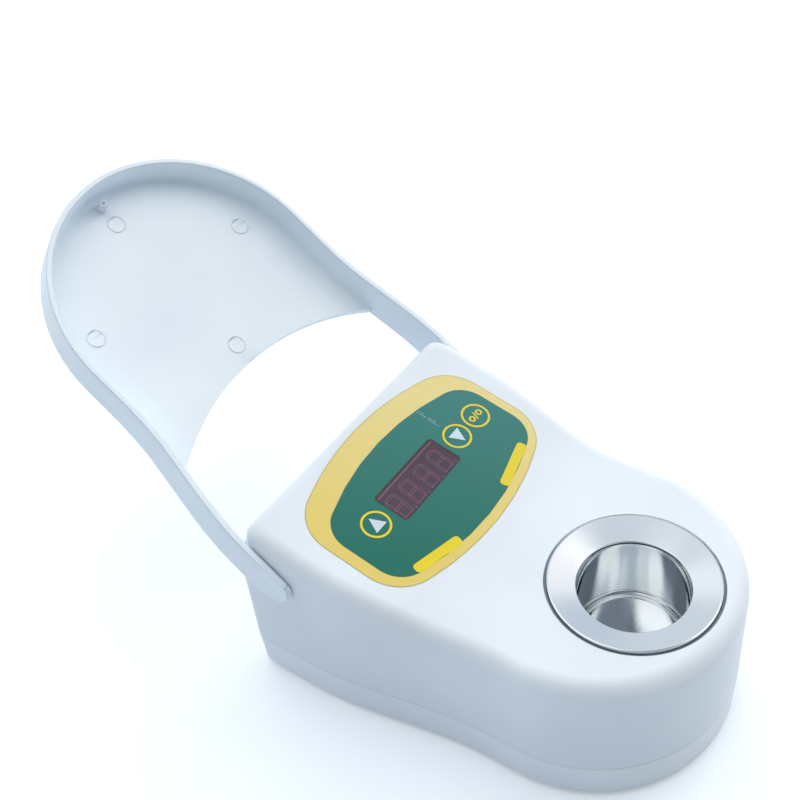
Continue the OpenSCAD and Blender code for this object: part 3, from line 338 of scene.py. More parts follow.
def printed(name, colour, sheen_colour, roughness, drift=0.07, **sockets):
    made, tree, shader = begin(name, colour, roughness, **sockets)
    place = object_vector(tree)
    out = use_group(tree, grain, Vector=place, Grain=ink_grain)
    across = add(tree, "VectorMath", {0: place, 1: sheen_way}, operation="DOT_PRODUCT").outputs["Value"]
    # Painted sheen: the colour blends to a second one across the panel.
    base = blend_colours(tree, between(tree, across, sheen_from, sheen_to), colour, sheen_colour)
    shade = (1 - drift, 1 - drift, 1 - drift, 1)
    darker = add(tree, "Mix", {0: 1.0, 6: base, 7: shade}, data_type="RGBA", blend_type="MULTIPLY").outputs[2]
    mottle = calc(tree, "ADD", calc(tree, "MULTIPLY", out["Height"], fine_share),
                  calc(tree, "MULTIPLY", out["Drift"], slow_share))
    mottle = between(tree, mottle, *mottle_range)
    tree.links.new(blend_colours(tree, mottle, darker, base), shader.inputs["Base Color"])
    rough = between(tree, out["Height"], *NOISE_RANGE, roughness * (1 - ink_gloss_drift),
                    roughness * (1 + ink_gloss_drift))
    tree.links.new(rough, shader.inputs["Roughness"])
    bump(tree, shader, out["Height"], ink_depth, GRAIN_HEIGHT)
    return made


flat_gloss = {"Specular_IOR_Level": 0.3}
green = printed("green print", srgb(26, 111, 96), srgb(60, 129, 123), 0.4, **flat_gloss)
finish.update({
    "film": printed("straw film", srgb(231, 208, 110), srgb(235, 217, 147), 0.42, 0.04, **flat_gloss),
    "key": green,
    "window": printed("plum window", srgb(76, 55, 72), srgb(64, 48, 64), 0.25),
})
yellow = printed("yellow print", srgb(240, 216, 40), srgb(234, 212, 60), 0.4, **flat_gloss)
pale = printed("pale print", srgb(206, 222, 232), srgb(214, 228, 236), 0.4, **flat_gloss)
plum_line = printed("plum line", srgb(132, 84, 110), srgb(128, 84, 108), 0.3)
dark_edge = printed("window edge", srgb(50, 42, 54), srgb(58, 50, 62), 0.35)
# The film edge ink is painted shadow along the edge of the film's recess.
recess_shadow_ink = printed("painted recess shadow", srgb(186, 174, 124), srgb(190, 180, 140), 0.45)
for node, piece in cad.items():
    piece.data.materials.clear()
    piece.data.materials.append(finish[slot_of[node]])
print(len(finish), "slots have a finish")

# %% [markdown]
# ## Smooth moulded shells
# The housing, the base and the lid are large curved mouldings. The CAD mesh is a set of loose
# triangles, which would show every facet, so a copy has its doubles merged and is shaded smooth, with
# sharp lines only where the real moulding has an edge. A subdivision surface would be smooth too, but it
# pulls corners in and rounds bores that have to fit. Weighted normals keep the flat areas flat.

# %% Smooth shells
def hand_over(piece, body, slot, *replaced):
    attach(piece, body)
    if replaced:
        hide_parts(*replaced)
    return piece


SHELL_SHARP = radians(28)


def smooth_shell(node, name):
    bm = bmesh.new()
    bm.from_mesh(cad[node].data)
    bmesh.ops.remove_doubles(bm, verts=bm.verts, dist=2e-6)
    bmesh.ops.dissolve_degenerate(bm, edges=bm.edges, dist=1e-6)
    mesh = bpy.data.meshes.new(name)
    bm.to_mesh(mesh)
    bm.free()
    mesh.shade_smooth()
    mesh.set_sharp_from_angle(angle=SHELL_SHARP)
    mesh.materials.append(finish[slot_of[node]])
    piece = bpy.data.objects.new(name, mesh)
    bpy.context.collection.objects.link(piece)
    weights = piece.modifiers.new("weighted normals", "WEIGHTED_NORMAL")
    weights.keep_sharp = True
    print(name, len(mesh.polygons), "faces")
    return hand_over(piece, body_of[node], slot_of[node], node)


housing = smooth_shell("top_housing", "housing_shell")
smooth_shell("base_tray", "base_shell")
smooth_shell("lid", "lid_shell")

# %% [markdown]
# ## Clean light over the housing's top
# The top runs level round the cup and turns softly into the slope of the panel. Its triangles fan out
# from the round well, and shading averaged over such a fan shows streaks. A remesh would hide them at
# the price of many faces. But the surface is a simple curve along one direction, so its exact normal is
# known, and the corners that lie on it are given it.

# %% Exact normals on the top
slope, front_top, crease_y, crease_blend = radians(14.5), 53.0, 42.2, 6.0
height_error, facing_up, same_side = 0.02, 0.9, radians(40)


def top_at(y):
    run = min(max(y - crease_y + crease_blend, 0), 2 * crease_blend)
    rise = tan(slope) * (run * run / (4 * crease_blend) + max(0, y - crease_y - crease_blend))
    return front_top + rise, Vector((0, -tan(slope) * run / (2 * crease_blend), 1)).normalized()


graph = bpy.context.evaluated_depsgraph_get()
mesh = bpy.data.meshes.new_from_object(housing.evaluated_get(graph), depsgraph=graph)
exact = {}
for vertex in mesh.vertices:
    height, normal = top_at((vertex.co.y - cup_axis.y) / MM)
    if abs(vertex.co.z / MM - height) < height_error:
        exact[vertex.index] = normal
on_top = set()
for face in mesh.polygons:
    if face.normal.z > facing_up:
        on_top.update(v for v in face.vertices if v in exact)
corners = [corner.vector.copy() for corner in mesh.corner_normals]
for face in mesh.polygons:
    for loop, vertex in zip(face.loop_indices, face.vertices):
        if vertex in on_top and face.normal.angle(exact[vertex]) < same_side:
            corners[loop] = exact[vertex]
mesh.normals_split_custom_set(corners)
housing.modifiers.clear()
housing.data = mesh
print(len(on_top), "corners of the top have exact normals")

# %% [markdown]
# ## Turned pieces
# The ring round the cup is turned on a lathe and the cup is drawn on a round punch, so each is one
# profile spun about the cup's axis. A Screw modifier would spin it too, but the operator leaves plain
# faces to work on at once. The profile is drawn as a few points, spun with merged ends, and
# its sharp corners get the small bevel that a deburring tool leaves, which catches the light. Two more
# points close to the ends of the ring's cone keep its shading straight between them.

# %% Spun profiles
def become_piece(bm, name, material, body, slot, replaced=(), smooth=None):
    bmesh.ops.remove_doubles(bm, verts=bm.verts, dist=1e-7)
    bmesh.ops.recalc_face_normals(bm, faces=bm.faces)
    mesh = bpy.data.meshes.new(name)
    bm.to_mesh(mesh)
    bm.free()
    if smooth:
        mesh.shade_smooth()
        mesh.set_sharp_from_angle(angle=radians(smooth))
    for one in material if isinstance(material, list) else [material]:
        mesh.materials.append(one)
    piece = bpy.data.objects.new(name, mesh)
    bpy.context.collection.objects.link(piece)
    print(name, len(mesh.polygons), "faces")
    return hand_over(piece, body, slot, *replaced)


BEVEL_OVER = radians(25)


def bevel_sharp(bm, width, segments=2):
    edges = [e for e in bm.edges if len(e.link_faces) == 2 and e.calc_face_angle() > BEVEL_OVER]
    bmesh.ops.bevel(bm, geom=edges, offset=width, segments=segments, profile=0.5, affect="EDGES", material=-1)


def spun(profile, steps, closed, bevel=0.0):
    bm = bmesh.new()
    points = [bm.verts.new((r, 0, z)) for r, z in profile]
    for a, b in zip(points, points[1:] + points[:1] if closed else points[1:]):
        bm.edges.new((a, b))
    bmesh.ops.spin(bm, geom=bm.verts[:] + bm.edges[:], cent=(0, 0, 0), axis=(0, 0, 1), angle=2 * pi,
                   steps=steps, use_merge=True)
    bmesh.ops.remove_doubles(bm, verts=bm.verts, dist=1e-4)
    bmesh.ops.recalc_face_normals(bm, faces=bm.faces)
    if bevel:
        bevel_sharp(bm, bevel)
    return bm


at_cup = Matrix.Translation(cup_axis) @ Matrix.Scale(MM, 4)
ring_profile = [(20.65, 47), (25.45, 47), (25.45, 53.38), (25.36, 53.5), (24.98, 53.653), (24.8, 53.593),
                (17.2, 51.07), (17.0, 51.0), (16.85, 50.85), (16.85, 50.6), (20.65, 50.6)]
bm = spun(ring_profile, 144, True, 0.06)
bmesh.ops.transform(bm, matrix=at_cup, verts=bm.verts)
become_piece(bm, "turned_ring", finish["ring"], "base", "ring", ["pot_ring"], 30)

# The cup's mouth flares a little under the ring, and its faces there are dark grey: painted shadow of the gap under
# the ring.
cup_profile = [(0, 24.4), (16.1, 24.4), (16.9, 25.1), (16.9, 26.0), (17.7, 26.0), (18.2, 26.5), (18.2, 49.8),
               (20.6, 49.8), (20.6, 50.6), (17.95, 50.6), (17.62, 50.3), (17.4, 49.4), (17.4, 27.3),
               (16.9, 26.8), (16.3, 26.8), (16.1, 26.5), (16.1, 25.7), (15.6, 25.2), (0, 25.2)]
mouth_low, mouth_r = 49.5, 18
bm = spun(cup_profile, 128, False, 0.12)
for face in bm.faces:
    middle = face.calc_center_median()
    # Faces at the mouth take the dark grey, a painted shadow of the gap under the ring.
    face.material_index = 1 if middle.z > mouth_low and middle.xy.length < mouth_r else 0
bmesh.ops.transform(bm, matrix=at_cup, verts=bm.verts)
become_piece(bm, "drawn_cup", [finish["cup"], finish["residue"]], "base", "cup", ["wax_cup"], 40)

# The silicone ring under them rises as a dark grey lip that fills the groove round the ring.
groove_lip_profile = [(18.5, 46), (26.1, 46), (26.37, 46.3), (26.37, 52.2), (26.2, 52.45), (25.65, 52.45), (25.5, 52.2),
                (25.5, 47), (20.6, 47), (20.6, 49.8), (18.5, 49.8)]
bm = spun(groove_lip_profile, 128, True)
bmesh.ops.transform(bm, matrix=at_cup, verts=bm.verts)
become_piece(bm, "groove_lip", finish["gasket"], "base", "gasket", ["ring_gasket"], 35)

# %% [markdown]
# ## Printed panel
# The panel is a straw-coloured film in a shallow recess, with a green field, two yellow bars and three
# ringed keys printed on it. It could all be masks in the film's material, but a print is a very thin
# layer with a crisp outline, so each colour is a plate a few hundredths of a millimetre thick. A pen
# draws the outlines from straight lines and arcs, the fill closes them with their holes, and an
# extrusion gives the layer its thickness.

# %% Pen and plate
ARC_STEP = 6


def pen(bm, start, moves):
    tip = bm.verts.new((*start, 0))
    for move in moves:
        if len(move) == 2:
            tip = bmesh.ops.extrude_vert_indiv(bm, verts=[tip])["verts"][0]
            tip.co = (*move, 0)
            continue
        steps = max(2, round(abs(move[2]) / ARC_STEP))
        turn = Matrix.Rotation(radians(move[2]) / steps, 3, "Z")
        for _ in range(steps):
            tip = bmesh.ops.extrude_vert_indiv(bm, verts=[tip])["verts"][0]
            bmesh.ops.rotate(bm, verts=[tip], cent=(move[0], move[1], 0), matrix=turn)


def plate(outlines, low, high):
    bm = bmesh.new()
    for start, moves in outlines:
        pen(bm, start, moves)
    bmesh.ops.remove_doubles(bm, verts=bm.verts, dist=1e-3)
    bmesh.ops.triangle_fill(bm, edges=bm.edges[:], use_beauty=True, use_dissolve=False, normal=(0, 0, 1))
    raised = bmesh.ops.extrude_face_region(bm, geom=bm.faces[:])
    bmesh.ops.translate(bm, verts=[v for v in raised["geom"] if isinstance(v, bmesh.types.BMVert)],
                        vec=(0, 0, high - low))
    bmesh.ops.translate(bm, verts=bm.verts, vec=(0, 0, low))
    return bm


def circle(x, y, r):
    return (x + r, y), [(x, y, 360)]


def rounded_box(x, y, w, h, r, turn=0.0):
    def spot(a, b):
        return (x + a * cos(turn) - b * sin(turn), y + a * sin(turn) + b * cos(turn))
    a, b = w / 2 - r, h / 2 - r
    return spot(w / 2, -b), [spot(w / 2, b), (*spot(a, b), 90), spot(-a, h / 2), (*spot(-a, b), 90),
                             spot(-w / 2, -b), (*spot(-a, -b), 90), spot(a, -h / 2), (*spot(a, -b), 90)]


print("pen draws arcs in steps of", ARC_STEP, "degrees")

# %% Outline with bulging long sides
def bulging(x, y, half_w, half_h, long_r, corner):
    run = half_w - corner
    long_y = half_h - long_r
    rise = long_y + ((long_r - corner) ** 2 - run ** 2) ** 0.5
    turn = Vector((run, rise - long_y)).angle_signed(Vector((1, 0)))
    degrees = turn * 180 / pi
    return (x + half_w, y - rise), [
        (x + half_w, y + rise), (x + run, y + rise, degrees), (x, y + long_y, 180 - 2 * degrees),
        (x - run, y + rise, degrees), (x - half_w, y - rise), (x - run, y - rise, degrees),
        (x, y - long_y, 180 - 2 * degrees), (x + run, y - rise, degrees)]


slope_height = front_top - tan(slope) * crease_y
on_panel = (Matrix.Translation(cup_axis + Vector((0, 0, slope_height * MM)))
            @ Matrix.Rotation(slope, 4, "X") @ Matrix.Scale(MM, 4))


def panel_piece(name, bm, material, body="base", slot="film"):
    bmesh.ops.transform(bm, matrix=on_panel, verts=bm.verts)
    return become_piece(bm, name, material, body, slot)


film_top, print_t = 0.1, 0.03
window_x, row_v, window_w, window_h, window_r = -3.0, 75.8, 30.2, 12.0, 1.15
keys = {"key_up": (-25.6, 76.1), "key_down": (19.2, 75.5), "key_unit": (30.4, 75.5)}
key_r, key_gap = 5.0, 0.03
holes = [circle(x, v, key_r + key_gap) for x, v in keys.values()]
window_hole = rounded_box(window_x, row_v, window_w, window_h, window_r)
panel_piece("green_field", plate([bulging(0.3, 72.37, 38.5, 21.45, 100, 10.5), *holes, window_hole],
                                 film_top, film_top + print_t), green)

# %% Yellow bars and window edge
bar_w, bar_r, bar_past = 3.3, 1.3, 1.2
bars = []
for x0, v0, x1, v1 in ((-30.8, 57.5, -14.06, 53.3), (13.0, 53.3, 30.06, 57.06)):
    reach = Vector((x1 - x0, v1 - v0))
    bars.append(rounded_box((x0 + x1) / 2, (v0 + v1) / 2, reach.length + bar_past, bar_w, bar_r,
                            reach.angle_signed(Vector((1, 0)))))
panel_piece("yellow_bars", plate(bars, film_top, film_top + 2 * print_t), yellow)
edge = [rounded_box(window_x, row_v, 31.3, 12.9, 1.5), window_hole]
panel_piece("window_edge", plate(edge, film_top + print_t, film_top + 1.7 * print_t), dark_edge)

# %% [markdown]
# ## Wear and painted shadow on the panel
# A used panel shows its age: a few light scratches run over the green and one speck of the print is
# chipped. The film's edge has a thin darker rim, a painted shadow of the recess it lies in. Scratches are
# hair-thin boxes, each with its middle, its length and its turn in degrees. The rim is the film's outline
# with a slightly smaller one as its hole.

# %% Scratches and rim
scratch_w, scratch_r, shadow_line_w = 0.09, 0.04, 0.25
scratches = [rounded_box(x, v, length, scratch_w, scratch_r, radians(turn)) for x, v, length, turn in (
    (18.7, 84.6, 4.6, 93), (18.9, 89.6, 4.0, 92), (19.5, 85.5, 3.0, 94), (19.6, 90.2, 2.2, 91),
    (-11.3, 90.7, 0.3, 40))]
panel_piece("panel_scratches", plate(scratches, film_top + print_t, film_top + 1.3 * print_t), pale)
# The rim is painted shadow along the edge of the film's recess.
rim = [bulging(0, 75.2, 42.2 - cut, 27.5 - cut, 102 - cut, 15.2 - cut) for cut in (0, shadow_line_w)]
panel_piece("film_recess_shadow", plate(rim, film_top, film_top + print_t / 2), recess_shadow_ink)

# %% [markdown]
# ## Keys
# The three keys are round pads of the same film that dip into holes in the field. Each has a yellow ring
# and a mark: a triangle up, a triangle down, and two small rings with a stroke for the unit. Face, ring
# and mark are plates one above the other, and all three ride on the key's own body, so that they go down
# with it when it is pressed.

# %% Keys
marks = {
    "key_up": [((-28.0, 74.06), [(-22.8, 74.06), (-25.4, 79.1), (-28.0, 74.06)])],
    "key_down": [((16.9, 77.4), [(19.5, 72.4), (22.1, 77.4), (16.9, 77.4)])],
    "key_unit": [circle(28.5, 75.5, 1.2), circle(28.5, 75.5, 0.6), circle(32.3, 75.5, 1.2),
                 circle(32.3, 75.5, 0.6), rounded_box(30.4, 75.5, 3.2, 0.55, 0.25, radians(72))],
}
key_ring_r, key_ring_w = 4.95, 0.75
for key, (x, v) in keys.items():
    top = film_top + print_t
    ring = [circle(x, v, key_ring_r), circle(x, v, key_ring_r - key_ring_w)]
    panel_piece(key + "_face", plate([circle(x, v, key_r)], film_top, top), green, body_of[key], "key")
    panel_piece(key + "_ring", plate(ring, top, top + print_t), yellow, body_of[key], "key")
    panel_piece(key + "_mark", plate(marks[key], top, top + print_t), yellow if key == "key_unit" else pale,
                body_of[key], "key")

# %% [markdown]
# ## Display
# Behind the plum window the unlit segments show as fine lighter outlines. A text object would need a
# font of such digits, so the pen draws them: each segment is a six-sided bar, leaning a little to the
# right. Its top face is inset, so that the rim takes the line's colour and the middle the window's own.

# %% Seven-segment digits
def segment(p, q, half):
    along = (q - p).normalized() * half
    across = Vector((-along.y, along.x))
    return [p, p + along - across, q - along - across, q, q - along + across, p + along + across, p]


digit_w, digit_low, digit_high, segment_half, lean = 4.2, 70.1, 78.6, 0.52, tan(radians(4.5))
segment_gap, dot_x, dot_r, line_w, digit_t = 0.08, 1.1, 0.4, 0.22, 0.02
bm = bmesh.new()
for left in (-17.7, -10.2, -2.6, 5.1):
    middle = (digit_low + digit_high) / 2
    for x0, v0, x1, v1 in ((0, digit_high, 1, digit_high), (0, middle, 1, middle), (0, digit_low, 1, digit_low),
                           (0, digit_low, 0, middle), (1, digit_low, 1, middle), (0, middle, 0, digit_high),
                           (1, middle, 1, digit_high)):
        p, q = Vector((left + x0 * digit_w, v0)), Vector((left + x1 * digit_w, v1))
        gap = (q - p).normalized() * segment_gap
        corners = [(c.x + lean * (c.y - middle), c.y) for c in segment(p + gap, q - gap, segment_half)]
        pen(bm, corners[0], corners[1:])
    pen(bm, *circle(left + digit_w + dot_x, digit_low, dot_r))
bmesh.ops.remove_doubles(bm, verts=bm.verts, dist=1e-3)
bmesh.ops.edgeloop_fill(bm, edges=bm.edges[:])
tops = bm.faces[:]
bmesh.ops.inset_individual(bm, faces=tops, thickness=line_w)
for face in bm.faces:
    face.material_index = 1 if face in tops else 0
raised = bmesh.ops.extrude_face_region(bm, geom=bm.faces[:])
bmesh.ops.translate(bm, verts=[v for v in raised["geom"] if isinstance(v, bmesh.types.BMVert)],
                    vec=(0, 0, digit_t))
panel_piece("digits", bm, [plum_line, finish["window"]], slot="window")
panel_piece("window_line", plate([rounded_box(-3.05, 81.0, 29.7, 0.45, 0.2)], 0, digit_t), plum_line,
            slot="window")

# %% [markdown]
# ## Rocker switch
# The mains fittings sit on the rear wall. The switch is a black frame with a rounded lip and a rocker
# hollowed towards its middle, so that a fingertip finds either end. The frame is a plate with a hole,
# the rocker is one side view extruded along its pivot, and a bevel rounds what a mould would round. The
# rocker's two pins sit in grooves down the inside of the frame, which guide them when it is put in.

# %% Switch frame
FACING_REAR = Matrix(((-1, 0, 0), (0, 0, 1), (0, 1, 0))).to_4x4()


def at_rear(x, y, z):
    return Matrix.Translation((x, y, z)) @ Matrix.Scale(MM, 4) @ FACING_REAR


def joined(*meshes):
    whole = bmesh.new()
    for bm in meshes:
        part = bpy.data.meshes.new("part")
        bm.to_mesh(part)
        bm.free()
        whole.from_mesh(part)
        bpy.data.meshes.remove(part)
    return whole


low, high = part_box("switch_frame")
lip_t, lip_w, lip_h, opening_w, opening_h, opening_r, sleeve = 1.8, 21.5, 15.9, 15.7, 10.1, 0.7, 1.3
switch_depth, overlap, half_groove, groove_depth = 13, 0.1, 1.3, 0.8
switch_x, switch_z, wall_y = (low.x + high.x) / 2, (low.z + high.z) / 2, high.y - lip_t * MM
opening = rounded_box(0, 0, opening_w, opening_h, opening_r)
outside = rounded_box(0, 0, opening_w + 2 * sleeve, opening_h + 2 * sleeve, 0.9)
lip = plate([rounded_box(0, 0, lip_w, lip_h, 1.8), opening], 0, lip_t)
bevel_sharp(lip, 0.4, 3)
sleeve_back = lip_t - switch_depth
half_open, half_high = opening_w / 2, opening_h / 2
deep = half_high + groove_depth
guided = [(half_open, half_high), (half_groove, half_high), (half_groove, deep), (-half_groove, deep),
          (-half_groove, half_high), (-half_open, half_high), (-half_open, -half_high), (-half_groove, -half_high),
          (-half_groove, -deep), (half_groove, -deep), (half_groove, -half_high), (half_open, -half_high)]
body = plate([outside, (guided[-1], guided)], sleeve_back, 0.4)
rear = plate([outside], -switch_depth, sleeve_back + overlap)
bm = joined(lip, body, rear)
bmesh.ops.transform(bm, matrix=at_rear(switch_x, wall_y, switch_z), verts=bm.verts)
become_piece(bm, "switch_bezel", finish["black_plastic"], "base", slot_of["switch_frame"], ["switch_frame"], 35)

# %% Rocker
pivot = next(j for j in frame["joints"] if j["name"] == "power_rocker")["pos_m"]
half_w, rocker_h, under, crown, dip, tip = 6.7, 9.4, -1.5, 5.5, 1.2, radians(8)
rocker_pin_r, rocker_pin_length = 1.2, 11.5
hollow_r = (half_w ** 2 + dip ** 2) / (2 * dip)
hollow = 2 * Vector((hollow_r - dip, half_w)).angle(Vector((1, 0))) * 180 / pi
hollow_y = crown - dip + hollow_r
side_view = ((-half_w, under), [(half_w, under), (half_w, crown), (0, hollow_y, -hollow), (-half_w, under)])
bm = plate([side_view], -rocker_h / 2, rocker_h / 2)
bevel_sharp(bm, 0.5, 3)
pin = bmesh.new()
bmesh.ops.create_cone(pin, cap_ends=True, segments=32, radius1=rocker_pin_r, radius2=rocker_pin_r,
                      depth=rocker_pin_length)
bevel_sharp(pin, 0.2, 1)
bm = joined(bm, pin)
on_pivot = Matrix.Translation(pivot) @ Matrix.Rotation(tip, 4, "Z") @ Matrix.Scale(MM, 4)
bmesh.ops.transform(bm, matrix=on_pivot, verts=bm.verts)
become_piece(bm, "rocker_cap", finish["rocker"], "rocker", slot_of["switch_rocker"], ["switch_rocker"], 35)

# %% [markdown]
# ## Marks on the rocker
# A stroke for on and a ring for off are moulded in pale ink on the two halves of the hollow face. Each is
# a small plate laid on the curve where it sits: it is moved out to the face and leaned as the face leans
# there. It reaches a little into the rocker, so that no gap shows under its middle.

# %% On and off marks
mark_x, mark_low, mark_high = 4.1, -0.06, 0.12
face_lean = asin(mark_x / hollow_r)
face_y = hollow_y - (hollow_r ** 2 - mark_x ** 2) ** 0.5
stroke, loop = [rounded_box(0, 0, 0.5, 3.4, 0.2)], [circle(0, 0, 1.7), circle(0, 0, 1.25)]
for name, side, outlines in (("on", 1, stroke), ("off", -1, loop)):
    bm = plate(outlines, mark_low, mark_high)
    spot = Matrix.Translation((side * mark_x, face_y, 0)) @ Matrix.Rotation(side * face_lean, 4, "Z")
    bmesh.ops.transform(bm, matrix=on_pivot @ spot @ FACING_REAR, verts=bm.verts)
    become_piece(bm, "rocker_mark_" + name, pale, "rocker", slot_of["switch_rocker"])

# %% [markdown]
# ## Power socket
# The socket is a moulded black bush with a rounded flange and a steel pin in its bore. Both are profiles
# spun about the socket's axis, like the ring and the cup, then laid on the rear wall.

# %% Power socket and its pin
low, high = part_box("power_socket")
socket_x, socket_z, flange_r, flange_t = (low.x + high.x) / 2, (low.z + high.z) / 2, 7.2, 1.4
bore_r, bore_floor, body_r, body_end = 3.2, -9.4, 5.6, -11
bush_profile = [(0, body_end), (body_r, body_end), (body_r, 0), (flange_r, 0), (flange_r, 0.8),
                (flange_r - 0.2, 1.2), (flange_r - 0.6, flange_t), (bore_r + 0.5, flange_t),
                (bore_r, flange_t - 0.5), (bore_r, bore_floor), (0, bore_floor)]
pin_profile = [(0, bore_floor - 0.1), (1, bore_floor - 0.1), (1, -0.5), (0.8, -0.15), (0.4, 0), (0, 0)]
on_wall = at_rear(socket_x, high.y - flange_t * MM, socket_z)
for name, profile, material, node, replaced in (
        ("socket_bush", bush_profile, finish["black_plastic"], "power_socket", ["power_socket"]),
        ("socket_pin", pin_profile, finish["screws"], "socket_nut", ())):
    bm = spun(profile, 64, False, 0.06)
    bmesh.ops.transform(bm, matrix=on_wall, verts=bm.verts)
    become_piece(bm, name, material, "base", slot_of[node], replaced, 35)

# %% [markdown]
# ## Feet and case screws
# Four rubber feet are moulded with a soft edge and a dimple, and four screws close the case from below.
# A foot is one spun profile, made again at each of its four places. A screw head is a disc with a
# cross-shaped hole, rounded at its rim, over a spun shank. The like pieces are joined to one mesh,
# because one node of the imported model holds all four.

# %% Feet
low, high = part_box("rubber_feet")
foot_r, front_foot_x = 5, 24
foot_profile = [(0, 0.35), (1.5, 0.35), (1.9, 0), (4.3, 0), (4.75, 0.2), (foot_r, 0.65), (foot_r, 2.6), (0, 2.6)]
foot_places = [(side * x, y) for side in (-1, 1) for x, y in (
    (front_foot_x, low.y / MM + foot_r), (high.x / MM - foot_r, high.y / MM - foot_r))]


def repeated(make, places):
    parts = []
    for x, y in places:
        bm = make()
        bmesh.ops.transform(bm, matrix=Matrix.Scale(MM, 4) @ Matrix.Translation((x, y, 0)), verts=bm.verts)
        parts.append(bm)
    return joined(*parts)


bm = repeated(lambda: spun(foot_profile, 48, False), foot_places)
become_piece(bm, "moulded_feet", finish["feet"], "base", slot_of["rubber_feet"], ["rubber_feet"], 40)

# %% Case screws
head_r, head_low, head_t, head_edge, arm, half = 2.9, 6.0, 1.2, 0.7, 1.55, 0.32
shank_r, shoulder_t, point_z, tip_r, tip_z = 1.5, 2, 25.2, 0.4, 26.4


def case_screw():
    cross = [(half, arm), (-half, arm), (-half, half), (-arm, half), (-arm, -half), (-half, -half), (-half, -arm),
             (half, -arm), (half, -half), (arm, -half), (arm, half), (half, half), (half, arm)]
    head = plate([circle(0, 0, head_r), (cross[0], cross[1:])], head_low, head_low + head_t)
    rim = [e for e in head.edges
           if all(v.co.z < head_low + 0.01 and v.co.xy.length > head_r - 0.1 for v in e.verts)]
    bmesh.ops.bevel(head, geom=rim, offset=head_edge, segments=4, profile=0.5, affect="EDGES", material=-1)
    shoulder_r, bed = head_r - 0.05, head_low + head_t - 0.1
    shank = spun([(0, bed), (shoulder_r, bed), (shoulder_r, head_low + shoulder_t), (shank_r, head_low + shoulder_t),
                  (shank_r, point_z), (tip_r, tip_z), (0, tip_z)], 32, False)
    return joined(head, shank)


low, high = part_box("case_screws")
from_edge, front_screw_x = 2.9, 35.5
case_places = [(side * x, y) for side in (-1, 1) for x, y in (
    (front_screw_x, low.y / MM + from_edge), (high.x / MM - from_edge, high.y / MM - from_edge))]
bm = repeated(case_screw, case_places)
become_piece(bm, "cross_head_screws", finish["screws"], "base", slot_of["case_screws"], ["case_screws"], 35)

# %% [markdown]
# ## Floor
# The pot stands on a plain sheet of pale paper. It is matt, and it takes the soft shadow round the foot
# of the housing. A faint glow, which only the camera and polished metal see through Light Path, brings
# the paper to white, and puts no more light on the pot.

# %% Floor
def polished_ray(tree):
    path = add(tree, "LightPath").outputs
    return calc(tree, "MAXIMUM", path["Is Glossy Ray"], path["Is Transmission Ray"]), path["Is Camera Ray"]


paper_colour, paper_glow = (0.80, 0.86, 0.92, 1), 0.25
bm = bmesh.new()
bmesh.ops.create_grid(bm, x_segments=1, y_segments=1, size=4)
mesh = bpy.data.meshes.new("floor")
bm.to_mesh(mesh)
bm.free()
floor = bpy.data.objects.new("floor", mesh)
bpy.context.collection.objects.link(floor)
paper = bpy.data.materials.new("white paper")
paper.use_nodes = True
tree = paper.node_tree
tree.nodes.clear()
matt = add(tree, "BsdfDiffuse", {"Color": paper_colour})
seen = calc(tree, "MULTIPLY", calc(tree, "MAXIMUM", *polished_ray(tree)), paper_glow)
glow = add(tree, "Emission", {"Color": (1, 1, 1, 1), "Strength": seen})
both = add(tree, "AddShader", {0: matt.outputs[0], 1: glow.outputs[0]})
tree.links.new(both.outputs[0], add(tree, "OutputMaterial").inputs["Surface"])
mesh.materials.append(paper)
print("floor", [round(v, 2) for v in floor.dimensions])

# %% [markdown]
# ## Lamps
# A product picture like this is lit by large soft boxes. Area lamps have their shape, but fade with
# distance. So each is a sun lamp with a very wide disc, which gives the same soft edge to every shadow
# wherever the pot stands. They are slightly warm against the blue of the room, and polished metal
# doesn't see them, because a disc in a mirror would show as a spot.

# %% Lamps
LAMP_SPREAD = radians(55)


def lamp(name, toward, strength, colour):
    data = bpy.data.lights.new(name, "SUN")
    data.energy, data.color, data.angle = strength, colour, LAMP_SPREAD
    made = bpy.data.objects.new(name, data)
    bpy.context.collection.objects.link(made)
    made.rotation_mode = "QUATERNION"
    made.rotation_quaternion = (-Vector(toward).normalized()).to_track_quat("-Z", "Y")
    made.visible_glossy = False


lamp("overhead light", (0, 0, 1), 1.18, (1.0, 0.93, 0.85))
lamp("right light", (0.9, -0.3, 0.6), 1.08, (1.0, 0.92, 0.84))
lamp("rear light", (0.6, 0.8, 0.5), 0.84, (1.0, 0.92, 0.84))
print("three lamps")

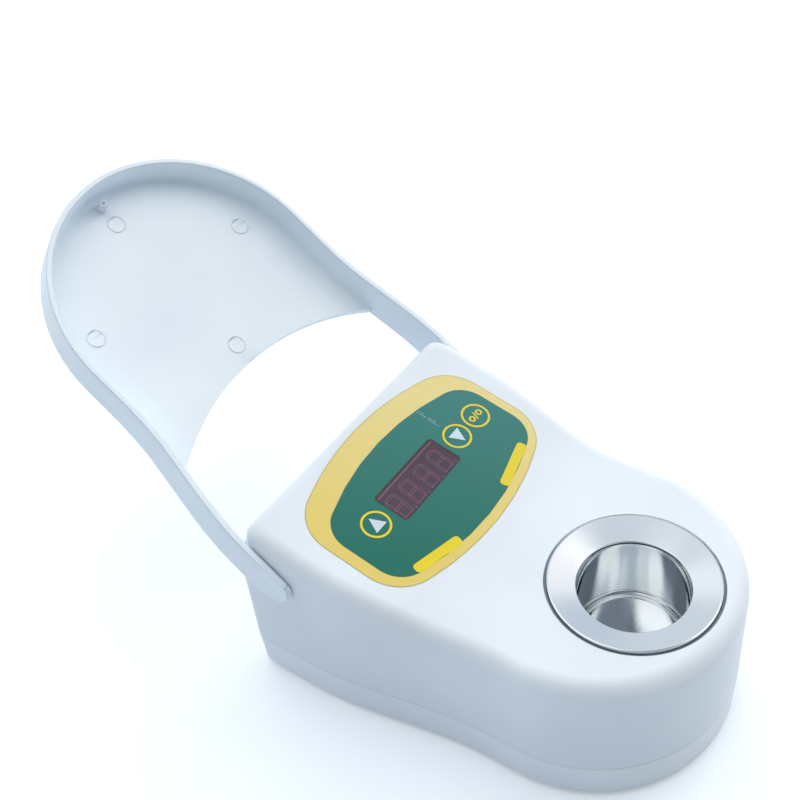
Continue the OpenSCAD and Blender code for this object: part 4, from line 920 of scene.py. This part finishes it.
# %% [markdown]
# ## World
# Matt surfaces are lit by a soft blue room that is darker towards the front, which models the sides of
# the housing. Polished metal shows what stands round it, so its rays see a room of their own: a grey
# field with a few soft round patches for windows and dark corners. Each patch is given by the way to its
# middle, the angle up to which it is whole, the angle by which it has faded, and its colour. What the
# camera sees behind the pot is plain white.

# %% World
world = bpy.data.worlds.new("studio")
bpy.context.scene.world = world
world.use_nodes = True
tree = world.node_tree
tree.nodes.clear()
way = add(tree, "TexCoord").outputs["Generated"]


def towards(direction, low, high):
    facing = add(tree, "VectorMath", {0: way, 1: Vector(direction).normalized()}, operation="DOT_PRODUCT")
    made = between(tree, facing.outputs["Value"], low, high)
    made.node.interpolation_type = "SMOOTHSTEP"
    return made


dim = blend_colours(tree, towards((-0.5, -0.85, 0.1), 0.1, 0.95), (0.44, 0.53, 0.62), (0.07, 0.095, 0.13))


def sky(azimuth, elevation):
    a, e = radians(azimuth), radians(elevation)
    return cos(a) * cos(e), sin(a) * cos(e), sin(e)


room = (0.66, 0.745, 0.82)
shade, glare = (0.165, 0.2, 0.24), (1.22, 1.27, 1.29)
patches = ((sky(-155, 48), 24, 36, shade), (sky(-105, 63), 14, 22, (0.2, 0.24, 0.29)),
           (sky(11, 22), 6, 15, (0.57, 0.66, 0.77)), (sky(-10, 49), 14, 22, (1.0, 1.03, 1.08)),
           (sky(-48, 46), 12, 22, (1.33, 1.37, 1.4)), (sky(61, 45), 4, 14, (0.94, 1.0, 1.08)),
           (sky(91, 47), 7, 14, glare), (sky(128, 62), 12, 21, glare), (sky(150, 73), 8, 15, glare))
for direction, whole, edge, colour in patches:
    room = blend_colours(tree, towards(direction, cos(radians(edge)), cos(radians(whole))), room, colour)
polished, from_camera = polished_ray(tree)
lit = add(tree, "Background", {"Color": dim, "Strength": 1.0})
shown = add(tree, "Background", {"Color": room, "Strength": 1.0})
white = add(tree, "Background", {"Color": (1, 1, 1, 1), "Strength": 1.0})
first = add(tree, "MixShader", {0: polished, 1: lit.outputs[0], 2: shown.outputs[0]})
last = add(tree, "MixShader", {0: from_camera, 1: first.outputs[0], 2: white.outputs[0]})
tree.links.new(last.outputs[0], add(tree, "OutputWorld").inputs["Surface"])
print("the world is dark towards the front and shows", len(patches), "patches to polished metal")
